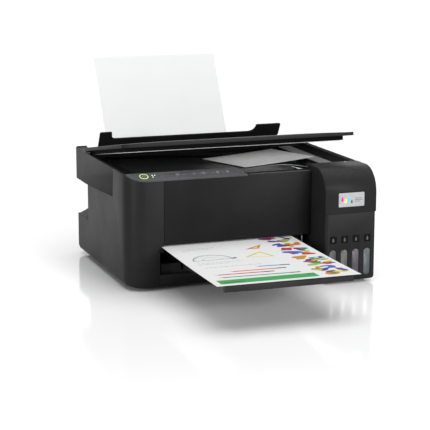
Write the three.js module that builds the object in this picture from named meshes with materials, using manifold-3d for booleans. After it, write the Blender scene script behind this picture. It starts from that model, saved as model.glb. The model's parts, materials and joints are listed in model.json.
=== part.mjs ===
// Ink-tank inkjet printer with a flatbed scanner, in millimetres, +Z up, front towards -Y.
// Body frame: x and y are measured from the middle of the main footprint, z from the floor.
// The whole assembly is moved along Y at the end, so that its origin is below its middle.
import * as THREE from 'three';
import Module from 'manifold-3d';
import { mergeVertices } from 'three/addons/utils/BufferGeometryUtils.js';

const wasm = await Module();
wasm.setup();

// ---- driving dimensions ----
const bodyWidth = 375;
const bodyRear = 173.5; // y of the rear face
const fasciaFront = -120; // y of the front face beside the tanks
const tankFront = -173.5; // y of the tank unit's face
const wallTop = 175; // z of the side walls
const caseBottom = 4; // z of the underside, the feet reach down to 0
const wall = 3; // moulded wall
const gap = 0.4; // between two neighbouring pieces
const cornerRadius = 32; // upright corner at the front left
const columnRight = -132.5; // x where the left column ends
const columnStep = -139; // x of the column's foot below the fascia
const fasciaBottom = 69; // z, top of the paper exit
const fasciaTop = 167.7;
const exitSill = 24; // z of the base front under the exit
const tankLeft = 104.2; // x of the tank unit's left face
const tankSeam = 108.5; // z where the tank cover starts
const coverArc = 38; // radius of the tank cover's rounded front
const stripRear = -100.5; // y of the rear edge of the control strip
const stripRise = 8; // how far the strip climbs to the rear
const stripEnd = 0; // x of the strip's right end at the front
const scannerFloor = 140; // z of the scanner tub's underside
const glassLevel = 165; // z of the scanner's top frame
const pivotY = 135; // scanner unit's hinge
const pivotZ = 168;
const lidHingeY = 128;
const lidHingeZ = 177;
const lidFront = -100; // y of the closed lid's front edge
const lidThickness = 5.2;
const lidAjar = 9.8; // degrees that the lid stands open
const sideSeamY = -42; // front end of the scanner's left side, at the top
const sideSeamLow = 131.4; // z of its lower edge at the front
const sideSeamDrop = 7.7; // how far that edge falls to the rear
const notchFront = 105; // hand recess at the rear left
const notchLow = 66;
const notchHigh = 123.7;
const notchDepth = 27;
const paperMiddle = -34; // x of the paper's centre line
const pageWidth = 210; // widest paper
const paperLean = 27; // degrees that the rear feeder leans back
const paperEntryY = 157; // where the sheet passes the top of the walls
const supportLength = 170;
const supportWidth = 96;
const traySlope = 5.5; // degrees
const trayLevel = 33; // z of the tray's surface at the fascia
const trayWidth = 132;
const trayReach = 246; // from the fascia to the lip's rear
const lipWidth = 187;
const pagePlane = 66.6; // z of the printed page
const feederLeft = -163;
const feederRight = 137;
const guardHeight = 20.5; // at the middle
const earHeight = 34; // at its two ears
const guardTip = 30; // degrees that the guard leans forwards

const halfWidth = bodyWidth / 2;
const far = bodyWidth + bodyRear; // beyond every face, for cuts that go right through
const degree = Math.PI / 180;

// ---- materials ----
function plastic(color, roughness, metalness = 0) {
  return new THREE.MeshStandardMaterial({ color, roughness, metalness });
}

const casing = plastic(0x2b2b2d, 0.5);
const casingInner = plastic(0x18181a, 0.6);
const stripPlastic = plastic(0x4c4c4f, 0.45);
const keyPlastic = plastic(0x5a5a5d, 0.4);
const innerPlastic = plastic(0x2a2a2c, 0.6);
const guidePlastic = plastic(0x3a3a3d, 0.5);
const matPlastic = plastic(0xdedede, 0.7);
const glass = plastic(0x101214, 0.08);
const steel = plastic(0xa8abb0, 0.35, 0.9);
const rubber = plastic(0x1a1a1a, 0.85);
const belt = plastic(0x202020, 0.8);
const gearPlastic = plastic(0xd8d6cc, 0.5);
const board = plastic(0x1e5a34, 0.5);
const portPlastic = plastic(0x101010, 0.4);
const inks = {
  black: plastic(0x8d9092, 0.25),
  yellow: plastic(0xbdb9a4, 0.25),
  magenta: plastic(0xb8a6b4, 0.25),
  cyan: plastic(0xa6b8bb, 0.25),
};

// ---- solids ----
// A closed three.js geometry becomes a manifold solid once its shared corners are merged.
function solid(geometry) {
  const bare = geometry.clone();
  bare.deleteAttribute('normal');
  bare.deleteAttribute('uv');
  const merged = mergeVertices(bare, 1e-4);
  const shape = new wasm.Mesh({
    numProp: 3,
    vertProperties: new Float32Array(merged.attributes.position.array),
    triVerts: new Uint32Array(merged.index.array),
  });
  return new wasm.Manifold(shape);
}

function box(x0, x1, y0, y1, z0, z1) {
  const geometry = new THREE.BoxGeometry(x1 - x0, y1 - y0, z1 - z0);
  return geometry.translate((x0 + x1) / 2, (y0 + y1) / 2, (z0 + z1) / 2);
}

function block(...sides) {
  return solid(box(...sides));
}

// Prisms along each axis from an outline of [a, b] points.
function outline(points) {
  return new THREE.Shape(points.map(([a, b]) => new THREE.Vector2(a, b)));
}

function extrude(points, depth) {
  return new THREE.ExtrudeGeometry(outline(points), { depth, bevelEnabled: false });
}

function prismZ(pointsXY, z0, z1) {
  return extrude(pointsXY, z1 - z0).translate(0, 0, z0);
}

function prismX(pointsYZ, x0, x1) {
  const geometry = extrude(pointsYZ, x1 - x0);
  geometry.rotateX(Math.PI / 2).rotateZ(Math.PI / 2);
  return geometry.translate(x0, 0, 0);
}

function prismY(pointsXZ, y0, y1) {
  return extrude(pointsXZ, y1 - y0).rotateX(Math.PI / 2).translate(0, y1, 0);
}

// Cylinders along each axis.
function rodX(radius, x0, x1, y, z, sides = 20) {
  const geometry = new THREE.CylinderGeometry(radius, radius, x1 - x0, sides);
  return geometry.rotateZ(Math.PI / 2).translate((x0 + x1) / 2, y, z);
}

function rodY(radius, y0, y1, x, z, sides = 20) {
  const geometry = new THREE.CylinderGeometry(radius, radius, y1 - y0, sides);
  return geometry.translate(x, (y0 + y1) / 2, z);
}

function rodZ(radius, z0, z1, x, y, sides = 20) {
  const geometry = new THREE.CylinderGeometry(radius, radius, z1 - z0, sides);
  return geometry.rotateX(Math.PI / 2).translate(x, y, (z0 + z1) / 2);
}

function join(first, ...rest) {
  return rest.reduce((all, one) => all.add(one), first);
}

function cut(first, ...rest) {
  return rest.reduce((left, one) => left.subtract(one), first);
}

// Points on an arc round (a, b), angles in degrees.
function arc(a, b, radius, from, to, steps) {
  const points = [];
  for (let i = 0; i <= steps; i += 1) {
    const angle = (from + ((to - from) * i) / steps) * degree;
    points.push([a + radius * Math.cos(angle), b + radius * Math.sin(angle)]);
  }
  return points;
}

// A rounded outline from [x, y, radius] corners, given anticlockwise.
function rounded(corners, steps = 5) {
  const points = [];
  corners.forEach(([x, y, radius], i) => {
    const [px, py] = corners[(i + corners.length - 1) % corners.length];
    const [nx, ny] = corners[(i + 1) % corners.length];
    if (radius < 0.01) {
      points.push([x, y]);
      return;
    }
    const into = new THREE.Vector2(x - px, y - py).normalize();
    const out = new THREE.Vector2(nx - x, ny - y).normalize();
    const turn = Math.acos(THREE.MathUtils.clamp(into.dot(out), -1, 1));
    const reach = radius * Math.tan(turn / 2);
    const side = Math.sign(into.x * out.y - into.y * out.x);
    const cx = x - into.x * reach - into.y * radius * side;
    const cy = y - into.y * reach + into.x * radius * side;
    const from = Math.atan2(y - into.y * reach - cy, x - into.x * reach - cx);
    for (let k = 0; k <= steps; k += 1) {
      const angle = from + (side * turn * k) / steps;
      points.push([cx + radius * Math.cos(angle), cy + radius * Math.sin(angle)]);
    }
  });
  return points;
}

// A solid through equal outlines stacked at rising levels [z, points].
function loft(levels) {
  const count = levels[0][1].length;
  const positions = levels.flatMap(([z, points]) => points.flatMap(([x, y]) => [x, y, z]));
  const faces = [];
  for (let level = 0; level + 1 < levels.length; level += 1) {
    for (let i = 0; i < count; i += 1) {
      const a = level * count + i;
      const b = level * count + ((i + 1) % count);
      faces.push(a, b, b + count, a, b + count, a + count);
    }
  }
  const flat = levels[0][1].map(([x, y]) => new THREE.Vector2(x, y));
  const top = (levels.length - 1) * count;
  THREE.ShapeUtils.triangulateShape(flat, []).forEach(([a, b, c]) => {
    faces.push(c, b, a, top + a, top + b, top + c);
  });
  const geometry = new THREE.BufferGeometry();
  geometry.setAttribute('position', new THREE.Float32BufferAttribute(positions, 3));
  geometry.setIndex(faces);
  return geometry;
}

const printer = new THREE.Group();

function addPiece(parent, name, shape, material) {
  let geometry = shape;
  if (!shape.isBufferGeometry) {
    const mesh = shape.getMesh();
    geometry = new THREE.BufferGeometry();
    const corners = new THREE.BufferAttribute(new Float32Array(mesh.vertProperties), 3);
    geometry.setAttribute('position', corners);
    geometry.setIndex(new THREE.BufferAttribute(new Uint32Array(mesh.triVerts), 1));
    geometry.computeVertexNormals();
  }
  const piece = new THREE.Mesh(geometry, material);
  piece.name = name;
  parent.add(piece);
  return piece;
}

// ---- outer casing ----
// The casing is one rounded tub, rolled under at the bottom, split into four mouldings.
const rollUnder = [
  [0, 9],
  [1.5, 5.2],
  [4, 2.2],
  [8, 0.5],
  [12, 0],
];

function bodyOutline(inset) {
  const left = -halfWidth + inset;
  const right = halfWidth - inset;
  const front = fasciaFront + inset;
  const rear = bodyRear - inset;
  const small = Math.max(7 - inset, 1);
  return rounded([
    [left, front, cornerRadius - inset],
    [right, front, small],
    [right, rear, small],
    [left, rear, small],
  ], 12);
}

function bodySolid(inset, top) {
  const levels = rollUnder.map(([rise, roll]) => [
    caseBottom + inset + rise,
    bodyOutline(inset + roll),
  ]);
  return solid(loft([...levels, [top, bodyOutline(inset)]]));
}

const rearRoll = 20; // radius of the long edge at the bottom of the rear
const bodySide = rounded([
  [fasciaFront - 1, caseBottom - 1, 0],
  [bodyRear, caseBottom - 0.01, rearRoll],
  [bodyRear, wallTop + 9, 0],
  [fasciaFront - 1, wallTop + 9, 0],
], 6);
const innerSide = rounded([
  [fasciaFront - 1, caseBottom - 1, 0],
  [bodyRear - wall, caseBottom + wall, rearRoll - wall],
  [bodyRear - wall, wallTop + 9, 0],
  [fasciaFront - 1, wallTop + 9, 0],
], 6);
const outerBody = bodySolid(0, wallTop).intersect(solid(prismX(bodySide, -far, far)));
const innerBody = bodySolid(wall, wallTop + 5).intersect(solid(prismX(innerSide, -far, far)));
const tankBack = -98; // y of the tank unit's rear face
const casingShell = cut(
  outerBody,
  innerBody,
  block(tankLeft - gap, far, -far, tankBack + gap, -1, far),
);

// Plane of the control strip: it climbs from the fascia to the rear edge of the strip.
const stripAngle = Math.atan2(stripRise, stripRear - fasciaFront);
const stripThickness = 2.2;
const stripDepth = stripThickness / Math.cos(stripAngle);
const stripLow = fasciaTop + 0.3;

function aboveStrip(drop) {
  const slope = Math.tan(stripAngle);
  const low = stripLow - drop;
  return solid(prismX([
    [fasciaFront - 5, low - 5 * slope],
    [stripRear + gap, low + (stripRear + gap - fasciaFront) * slope],
    [stripRear + gap, wallTop + 20],
    [fasciaFront - 5, wallTop + 20],
  ], -far, stripEnd + 20));
}

// The scanner's left side turns about the rear hinge, so its front edge is an arc round it.
function sideSeam(clearance) {
  const top = wallTop + 1 - pivotZ;
  const low = sideSeamLow - pivotZ;
  const radius = Math.hypot(pivotY - sideSeamY, wallTop - pivotZ) - clearance;
  const points = [];
  for (let i = 0; i <= 6; i += 1) {
    const z = top + ((low + clearance - top) * i) / 6;
    points.push([pivotY - Math.sqrt(radius * radius - z * z), pivotZ + z]);
  }
  const rearLow = sideSeamLow - sideSeamDrop + clearance;
  points.push([notchFront + 11, rearLow], [bodyRear + 1, rearLow], [bodyRear + 1, wallTop + 1]);
  return points;
}

const sidePanelX = halfWidth - 15.5; // where the side covers end under the base
const recessWall = 2.5;
const recessInner = -halfWidth + notchDepth;
const recessShell = cut(
  block(
    -halfWidth + 1, recessInner + recessWall,
    notchFront - recessWall, bodyRear - wall - gap,
    notchLow - recessWall, notchHigh - 1,
  ),
  block(-far, recessInner, notchFront, far, notchLow, far),
);
const notchFloorWedge = solid(prismY([
  [-halfWidth + 2, notchLow - 1],
  [recessInner + 1, notchLow - 1],
  [recessInner + 1, notchLow + 12],
], notchFront + 10, bodyRear - wall - gap));
const leftSideZone = block(-far, -sidePanelX, -far, far, -1, far);
const leftFrontZone = block(-far, columnRight, -far, -60, -1, far);
const columnRear = fasciaFront + 18;
const columnReturn = block(
  columnRight - wall, columnRight, fasciaFront + 1, columnRear, fasciaBottom - 9, fasciaTop - 4,
);
const columnFoot = block(
  columnStep - wall, columnStep, fasciaFront + 1, columnRear, caseBottom + 3, fasciaBottom - 9,
);
const columnLedge = block(
  columnStep - wall, columnRight, fasciaFront + 1, columnRear, fasciaBottom - 11, fasciaBottom - 8,
);
const leftShell = cut(
  casingShell.intersect(leftSideZone.add(leftFrontZone)),
  block(columnStep, 0, -far, -60, -1, fasciaBottom - 11),
  block(-far, recessInner + 20, notchFront, far, notchLow, notchHigh + 2),
  solid(prismX(sideSeam(0), -far, -150)),
);
const leftCover = cut(
  join(leftShell, recessShell, notchFloorWedge, columnReturn, columnFoot, columnLedge),
  block(-far, recessInner - 0.01, notchFront, notchFront + 9, notchLow, far),
  aboveStrip(stripDepth + gap),
);
addPiece(printer, 'left_cover', leftCover, casing);

const rearReturn = 8; // how far the rear cover wraps round the sides
const rightCover = casingShell.intersect(block(sidePanelX, far, -far, bodyRear - rearReturn, -1, far));
addPiece(printer, 'right_cover', rightCover, casing);

// The rear cover carries the power and data sockets and ends below the hand recess at the left.
const inletX = [-146, -118];
const inletZ = [22, 44];
const usbX = [-100, -86];
const usbZ = [26, 40];
const hingeRoom = 9; // width of the space beside the feeder that the scanner's hinge arm takes
const rearTopShelf = cut(
  block(
    feederRight + 4, halfWidth - wall - gap, lidHingeY + 3.2, bodyRear - 1, wallTop - wall, wallTop,
  ),
  block(0, feederRight + hingeRoom, 0, pivotY + 7, 100, far),
);
const basePanRear = 148; // y where the rear cover's lower edge starts
const rearShell = cut(
  casingShell.intersect(block(-far, far, bodyRear - rearReturn + gap, far, -1, far)).add(
    casingShell.intersect(block(-sidePanelX + gap, sidePanelX - gap, basePanRear, far, -1, 60)),
  ),
  block(-far, -sidePanelX + gap, -far, far, -1, far),
  block(-far, recessInner + recessWall + gap, -far, far, notchLow - recessWall - gap, far),
  block(-far, feederLeft - 7 + gap, -far, far, notchHigh, far),
  block(feederLeft - 4, feederRight + 4, -far, far, wallTop - 3, far),
  block(inletX[0], inletX[1], 150, far, inletZ[0], inletZ[1]),
  block(usbX[0], usbX[1], 150, far, usbZ[0], usbZ[1]),
);
const slots = [];
for (let i = 0; i < 9; i += 1) {
  slots.push(block(40 + i * 9, 44 + i * 9, 150, far, 34, 56));
}
addPiece(printer, 'rear_cover', cut(join(rearShell, rearTopShelf), ...slots), casing);

const floorZone = block(
  -sidePanelX + gap, sidePanelX - gap, fasciaFront + 8, basePanRear - gap, -1, 40,
);
const sillZone = block(columnStep + gap, tankLeft - gap, -far, fasciaFront + 9, -1, exitSill);
const basePan = cut(
  casingShell.intersect(floorZone.add(sillZone)),
  block(-far, columnStep + gap, -far, -60 + gap, -1, far),
);
const panRibs = [-120, -60, 70].map((x) => block(x, x + 2.5, 60, 140, caseBottom + 2, 14));
addPiece(printer, 'base_pan', join(basePan, ...panRibs), casing);

// Four rubber feet, each a short cone with a flat sole.
const footHeight = caseBottom - gap;
const footPlaces = {
  foot_front_left: [-150, -80],
  foot_front_right: [150, -150],
  foot_rear_left: [-150, 130],
  foot_rear_right: [150, 130],
};
for (const [name, [x, y]] of Object.entries(footPlaces)) {
  const profile = [[0, 0], [8.5, 0], [9.5, 1.2], [9.5, footHeight], [0, footHeight]];
  const points = profile.map(([r, z]) => new THREE.Vector2(r, z));
  const foot = new THREE.LatheGeometry(points, 20).rotateX(Math.PI / 2).translate(x, y, 0);
  addPiece(printer, name, solid(foot), rubber);
}

// ---- ink tank unit ----
const tankRight = halfWidth;
const windowWidth = 11.5;
const windowLow = 11;
const windowHigh = 53;
const tankPitch = 18.8;
const firstTankX = 117.2;
const tankNames = ['black', 'yellow', 'magenta', 'cyan'];

function pillOutline(x, width, low, high) {
  const r = width / 2;
  return [
    ...arc(x, low + r, r, 180, 360, 10),
    ...arc(x, high - r, r, 0, 180, 10),
  ];
}

function tankOutline(inset) {
  const r = Math.max(5 - inset, 1);
  return rounded([
    [tankLeft + inset, tankFront + inset, r],
    [tankRight - inset, tankFront + inset, r],
    [tankRight - inset, tankBack - inset, 0],
    [tankLeft + inset, tankBack - inset, 0],
  ], 5);
}

function tankSolid(inset, top) {
  const levels = rollUnder.map(([rise, roll]) => [
    caseBottom + inset + rise / 2,
    tankOutline(inset + roll / 2),
  ]);
  return solid(loft([...levels, [top, tankOutline(inset)]]));
}

const windows = tankNames.map((name, i) => solid(prismY(
  pillOutline(firstTankX + i * tankPitch, windowWidth, windowLow, windowHigh),
  tankFront - 2, tankFront + wall + 2,
)));
const tankHousing = cut(
  tankSolid(0, tankSeam),
  tankSolid(wall, tankSeam + 9),
  block(tankLeft + 8, tankRight - 8, tankBack - wall - 1, tankBack + 1, 70, far),
  ...windows,
);
addPiece(printer, 'tank_housing', tankHousing, casing);

// Inner frame behind the bottles, with two lugs for the cover's hinge.
const coverHingeY = tankFront + 67.5;
const coverHingeZ = wallTop - 7;
const lugX = [tankLeft + 8, tankRight - 12];
const frameWall = block(
  tankLeft + 8 + gap, tankRight - 8 - gap, tankBack - 2.4, tankBack - gap, 70 + gap, coverHingeZ - 10,
);
const hingeLugs = lugX.map((x) => cut(
  join(
    solid(rodX(3.4, x, x + 4, coverHingeY, coverHingeZ)),
    solid(prismX([
      [coverHingeY - 3.4, coverHingeZ],
      [coverHingeY - 3, coverHingeZ - 26],
      [tankBack - gap, coverHingeZ - 26],
      [tankBack - gap, coverHingeZ - 10],
      [coverHingeY + 3.4, coverHingeZ],
    ], x, x + 4)),
  ),
  solid(rodX(1.9, x - 1, x + 5, coverHingeY, coverHingeZ)),
));
addPiece(printer, 'tank_frame', join(frameWall, ...hingeLugs), innerPlastic);

const bottleTop = tankSeam - 10;
const bottleLow = caseBottom + wall + 5.6; // clear of the housing's rolled edge
const neckY = tankFront + 34;
const neckHigh = bottleTop + 6;
const bottleHalf = tankPitch / 2 - 0.4;
const bottleRoom = 1; // beside the bottles, clear of the housing's rounded corners
const capHingeY = neckY + 13;
const capHingeZ = neckHigh + 3.2;
tankNames.forEach((name, i) => {
  const x = firstTankX + i * tankPitch;
  const left = Math.max(x - bottleHalf, tankLeft + wall + bottleRoom);
  const right = Math.min(x + bottleHalf, tankRight - wall - bottleRoom);
  const front = tankFront + wall + gap;
  const windowBoss = solid(prismY(
    pillOutline(x, windowWidth - 2 * gap, windowLow + gap, windowHigh - gap),
    tankFront + 0.8, front + 1,
  ));
  const bottle = cut(
    join(
      block(left, right, front, tankBack - 6, bottleLow, bottleTop),
      windowBoss,
      solid(rodZ(6.4, bottleTop - 1, neckHigh, x, neckY)),
      block(x - 2.5, x + 2.5, capHingeY - 2, capHingeY + 2, bottleTop - 1, capHingeZ - 2.6),
    ),
    block(left + 1.6, right - 1.6, front + 1.6, tankBack - 7.6, bottleLow + 2, bottleTop - 2),
    solid(rodZ(4.2, bottleTop - 4, neckHigh + 1, x, neckY)),
  );
  addPiece(printer, `ink_tank_${name}`, bottle, inks[name]);
  const cap = join(
    solid(rodZ(6.8, neckHigh + gap, neckHigh + 5, x, neckY)),
    solid(rodZ(3, neckHigh - 2.4, neckHigh + 1, x, neckY)),
    block(x - 3, x + 3, neckY, capHingeY, capHingeZ - 1.6, capHingeZ + 1.6),
    solid(rodX(2, x - 3, x + 3, capHingeY, capHingeZ, 14)),
    block(x - 3.5, x + 3.5, neckY - 11, neckY - 5, neckHigh + 2.5, neckHigh + 5),
  );
  addPiece(printer, `tank_cap_${name}`, cap, inks[name]);
});

// The tank cover: a hood with a rounded front that swings up on two short pins.
const coverTop = wallTop + 0.3;
const coverShellWall = 2.5;

const coverFrontArc = (inset) => arc(
  tankFront + coverArc, coverTop - coverArc, coverArc - inset, 90, 180, 14,
);
const coverOutside = [
  [tankFront, tankSeam + gap],
  [tankBack - gap, tankSeam + gap],
  [tankBack - gap, coverHingeZ - 5],
  [tankBack - 5, coverHingeZ + 1],
  [tankBack - 5, coverTop],
  ...coverFrontArc(0),
];
const coverInside = [
  [tankFront + coverShellWall, tankSeam - 1],
  [tankBack + 5, tankSeam - 1],
  [tankBack + 5, coverTop - coverShellWall],
  ...coverFrontArc(coverShellWall),
];

const coverEars = lugX.map((x, i) => {
  const earX = i === 0 ? x + 4 + gap : x - 3 - gap;
  const pinX = i === 0 ? x + 0.5 : x - gap - 1;
  return join(
    solid(rodX(3.4, earX, earX + 3, coverHingeY, coverHingeZ)),
    block(earX, earX + 3, coverHingeY - 3.4, coverHingeY + 1, coverHingeZ, coverTop - 1),
    solid(rodX(1.5, pinX, pinX + 4.9, coverHingeY, coverHingeZ, 14)),
  );
});
const hood = cut(
  solid(prismX(coverOutside, tankLeft, tankRight)),
  solid(prismX(coverInside, tankLeft + coverShellWall, tankRight - coverShellWall)),
);
addPiece(printer, 'tank_cover', join(hood, ...coverEars), casing);

// ---- scanner unit: lifts as one, with the fascia and the control strip ----
const tubLeft = -halfWidth + wall + gap + 0.1;
const tubRight = halfWidth - wall - gap - 0.1;
const tubRear = lidHingeY;
const tubFront = fasciaFront + wall + gap + 2;
const tubFrontRight = tankBack + 5;
const tubCorner = -halfWidth + 16.5; // the cut-off corner inside the rounded column
const fasciaLeft = columnRight + 0.7;
const fasciaRight = tankLeft - 0.6;

function tubOutline(inset) {
  return [
    [tubLeft + inset, tubRear - inset],
    [tubLeft + inset, -78],
    [tubCorner + inset / 2, tankBack + 1 + inset],
    [fasciaLeft + inset, tankBack + 1 + inset],
    [fasciaLeft + inset, tubFront + inset],
    [fasciaRight - inset, tubFront + inset],
    [fasciaRight - inset, tubFrontRight + inset],
    [tubRight - inset, tubFrontRight + inset],
    [tubRight - inset, tubRear - inset],
  ];
}

const ribTop = 172;
const tubShell = cut(
  solid(prismZ(tubOutline(0), scannerFloor, glassLevel - 3)),
  solid(prismZ(tubOutline(2.5), scannerFloor + 2.5, glassLevel)),
);
const rightRib = solid(prismY([
  [tubRight - 13, glassLevel - 4],
  [tubRight, glassLevel - 4],
  [tubRight, wallTop - 1],
  [tubRight - 3, wallTop - 1],
  [tubRight - 4, ribTop],
  [tubRight - 13, glassLevel],
], tubFrontRight, tubRear));
const leftRib = block(tubLeft, tubLeft + 2.5, -76, tubRear, glassLevel - 4, wallTop - 1);
const rearRib = block(tubLeft, tubRight, tubRear - 2.5, tubRear, glassLevel - 4, lidHingeZ - 5);
const sideZone = solid(prismX(sideSeam(gap), -halfWidth, -halfWidth + wall)).intersect(
  block(-far, 0, -far, far, 0, wallTop),
);
const sideRear = block(
  -halfWidth + 1, feederLeft - 7, bodyRear - wall, bodyRear,
  notchHigh + gap + 1, wallTop + 1.6,
);
const sideShelf = block(
  -halfWidth + 1, feederLeft - 7, tubRear + 1.6, bodyRear - 1, wallTop - wall, wallTop,
);
const sideSole = block(
  -halfWidth + 1, feederLeft - 7, notchFront + 4, bodyRear - 1, notchHigh + gap + 0.2, notchHigh + 3,
);
const sideLink = block(-halfWidth + 1, tubLeft + 1, -30, tubRear - 1, glassLevel - 20, glassLevel);
const hingeArms = [
  [feederLeft - 6.6, feederLeft - 3.6, feederLeft - 4, feederLeft - 0.5],
  [feederRight + 3.6, feederRight + 6.6, feederRight + 0.5, feederRight + 4],
].map(([armLow, armHigh, pinLow, pinHigh]) => join(
  block(armLow, armHigh, tubRear - 1, pivotY, pivotZ - 6, pivotZ + 4),
  solid(rodX(5, armLow, armHigh, pivotY, pivotZ - 1)),
  solid(rodX(2.6, pinLow, pinHigh, pivotY, pivotZ)),
));
const lidPosts = [-120, 100].map((x) => join(
  block(x, x + 8, tubRear - 4, tubRear, lidHingeZ - 8, lidHingeZ + 1),
  solid(rodX(3.4, x, x + 8, lidHingeY, lidHingeZ)),
  solid(rodX(1.5, x - 6, x + 14, lidHingeY, lidHingeZ, 14)),
));
const tub = join(
  tubShell, rightRib, leftRib, rearRib, sideZone, sideRear, sideShelf, sideSole, sideLink,
  ...hingeArms, ...lidPosts,
);
const scanner = new THREE.Group();
printer.add(scanner);
addPiece(scanner, 'scanner_tub', tub, casing);

const glassBox = [-156, 146, tubFrontRight + 6, tubRear - 7];
const frameSlab = solid(prismZ([
  [tubLeft + 3, tubRear - 3],
  [tubLeft + 3, -74],
  [tubCorner + 1, tankBack + 4],
  [fasciaLeft + gap, tankBack + 4],
  [fasciaLeft + gap, fasciaFront + wall + gap],
  [fasciaRight - gap, fasciaFront + wall + gap],
  [fasciaRight - gap, tubFrontRight + gap],
  [tubRight - 13 - gap, tubFrontRight + gap],
  [tubRight - 13 - gap, tubRear - 3],
], glassLevel - 3 + gap, glassLevel));
const scannerFrame = cut(
  frameSlab,
  block(...glassBox, 100, far),
);
const glassLedge = cut(
  block(glassBox[0] - 4, glassBox[1] + 4, glassBox[2] - 3, glassBox[3] + 3, glassLevel - 5, glassLevel - 2),
  block(glassBox[0] + 3, glassBox[1] - 3, glassBox[2] + 3, glassBox[3] - 3, 100, far),
  block(...glassBox, glassLevel - 3.6, far),
);
addPiece(scanner, 'scanner_frame', join(scannerFrame, glassLedge), casingInner);
addPiece(scanner, 'scanner_glass', block(
  glassBox[0] + gap, glassBox[1] - gap, glassBox[2] + gap, glassBox[3] - gap,
  glassLevel - 3.3, glassLevel - 0.4,
), glass);

const railY = 14;
const railZ = scannerFloor + 6.5;
addPiece(scanner, 'scan_rail', solid(rodX(3, tubLeft + 3, tubRight - 3, railY, railZ)), steel);
const barHome = -152; // x of the parked scan bar
const barWidth = 20;
const scanBar = cut(
  block(barHome, barHome + barWidth, glassBox[2] + 5, glassBox[3] - 5, scannerFloor + 8, glassLevel - 6),
  block(barHome - 1, barHome + barWidth + 1, railY - 3.4, railY + 3.4, scannerFloor, railZ + 3.4),
);
addPiece(scanner, 'scan_bar', scanBar, casingInner);

// Front fascia: a flat panel with a folded top edge and stiffening ribs behind it.
const fasciaRibs = [-90, -34, 30, 75].map((x) => block(
  x, x + 2, fasciaFront + 1, fasciaFront + wall + 2, fasciaBottom + 4, scannerFloor - 4,
));
const fasciaPanel = cut(
  solid(prismX(rounded([
    [fasciaFront, fasciaBottom, 1.2],
    [fasciaFront + wall, fasciaBottom, 1.2],
    [fasciaFront + wall, fasciaTop, 0],
    [fasciaFront, fasciaTop, 1.5],
  ], 3), fasciaLeft, fasciaRight)),
  aboveStrip(stripDepth + gap).intersect(block(-far, stripEnd + gap, -far, 0, 0, far)),
);
addPiece(scanner, 'front_fascia', join(fasciaPanel, ...fasciaRibs), casing);

// Control strip: a sloping cap on the left column and the fascia, with six holes for the keys.
const stripMiddle = new THREE.Vector3(0, (fasciaFront + stripRear) / 2, stripLow + stripRise / 2);
const stripArcEnd = Math.asin((stripRear - fasciaFront - cornerRadius) / cornerRadius) / degree;
const stripOutline = [
  ...arc(-halfWidth + cornerRadius, fasciaFront + cornerRadius, cornerRadius, 180 - stripArcEnd, 270, 12),
  [stripEnd, fasciaFront],
  [stripEnd - 14, stripRear],
];
const keys = [
  { name: 'power_button', x: -160, radius: 7.2 },
  { name: 'wifi_button', x: -108, radius: 4.2 },
  { name: 'info_button', x: -82, radius: 4.2 },
  { name: 'mono_copy_button', x: -67, radius: 4.2 },
  { name: 'colour_copy_button', x: -45, radius: 4.2 },
  { name: 'stop_button', x: -29, radius: 4.2 },
];

// A geometry drawn round the Z axis is stood on the strip at x, its z = 0 on the surface.
function onStrip(geometry, x) {
  const place = new THREE.Matrix4().makeRotationX(stripAngle);
  place.setPosition(stripMiddle.x + x, stripMiddle.y, stripMiddle.z);
  return geometry.applyMatrix4(place);
}

const keyHoles = keys.map(({ x, radius }) => solid(onStrip(rodZ(radius + 0.3, -9, 9, 0, 0, 28), x)));
const strip = cut(
  solid(prismZ(stripOutline, 120, 220)).subtract(aboveStrip(0)).intersect(
    aboveStrip(stripDepth),
  ),
  ...keyHoles,
);
addPiece(scanner, 'control_panel', strip, stripPlastic);
const keyLow = -1.3; // a pressed key still stays within the strip
const keyHigh = 0.5;
for (const { name, x, radius } of keys) {
  const profile = [[0, keyLow], [radius, keyLow], [radius, 0.1], [radius - 0.4, keyHigh], [0, keyHigh]];
  const points = profile.map(([r, z]) => new THREE.Vector2(r, z));
  const key = new THREE.LatheGeometry(points, 24).rotateX(Math.PI / 2);
  addPiece(scanner, name, solid(onStrip(key, x)), keyPlastic);
}

// ---- lid: modelled shut, then set ajar about its hinge ----
const lid = new THREE.Group();
lid.position.set(0, lidHingeY, lidHingeZ);
lid.rotation.x = -lidAjar * degree;
scanner.add(lid);

const lidSkin = 1.8; // wall of the hollow lid
const lidLow = wallTop + gap - lidHingeZ;
const lidHigh = lidLow + lidThickness;
const lidLength = lidHingeY - lidFront;
const lidSlab = solid(prismZ(rounded([
  [-halfWidth, -lidLength, 10],
  [halfWidth, -lidLength, 10],
  [halfWidth, -5, 4],
  [-halfWidth, -5, 4],
], 5), lidLow, lidHigh));
const lidUnder = block(
  -halfWidth + 2.5, halfWidth - 2.5, -lidLength + 2.5, -7, lidLow - 1, lidHigh - lidSkin,
);
const lidBosses = [-120, 100].flatMap((x) => [x - 5.6, x + 8.6].map((start) => cut(
  join(
    solid(rodX(3.4, start, start + 5, 0, 0)),
    block(start, start + 5, -7, 0, -0.4, lidHigh - 0.2),
  ),
  solid(rodX(1.9, start - 1, start + 6, 0, 0)),
)));
const lidPostGaps = [-120, 100].map((x) => block(x - 0.6, x + 8.6, -9, 9, -9, lidHigh + 1));
const lidShell = cut(cut(lidSlab, lidUnder), ...lidPostGaps.map((one) => one.intersect(
  block(-far, far, -8, 9, -9, 9),
)));
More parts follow.
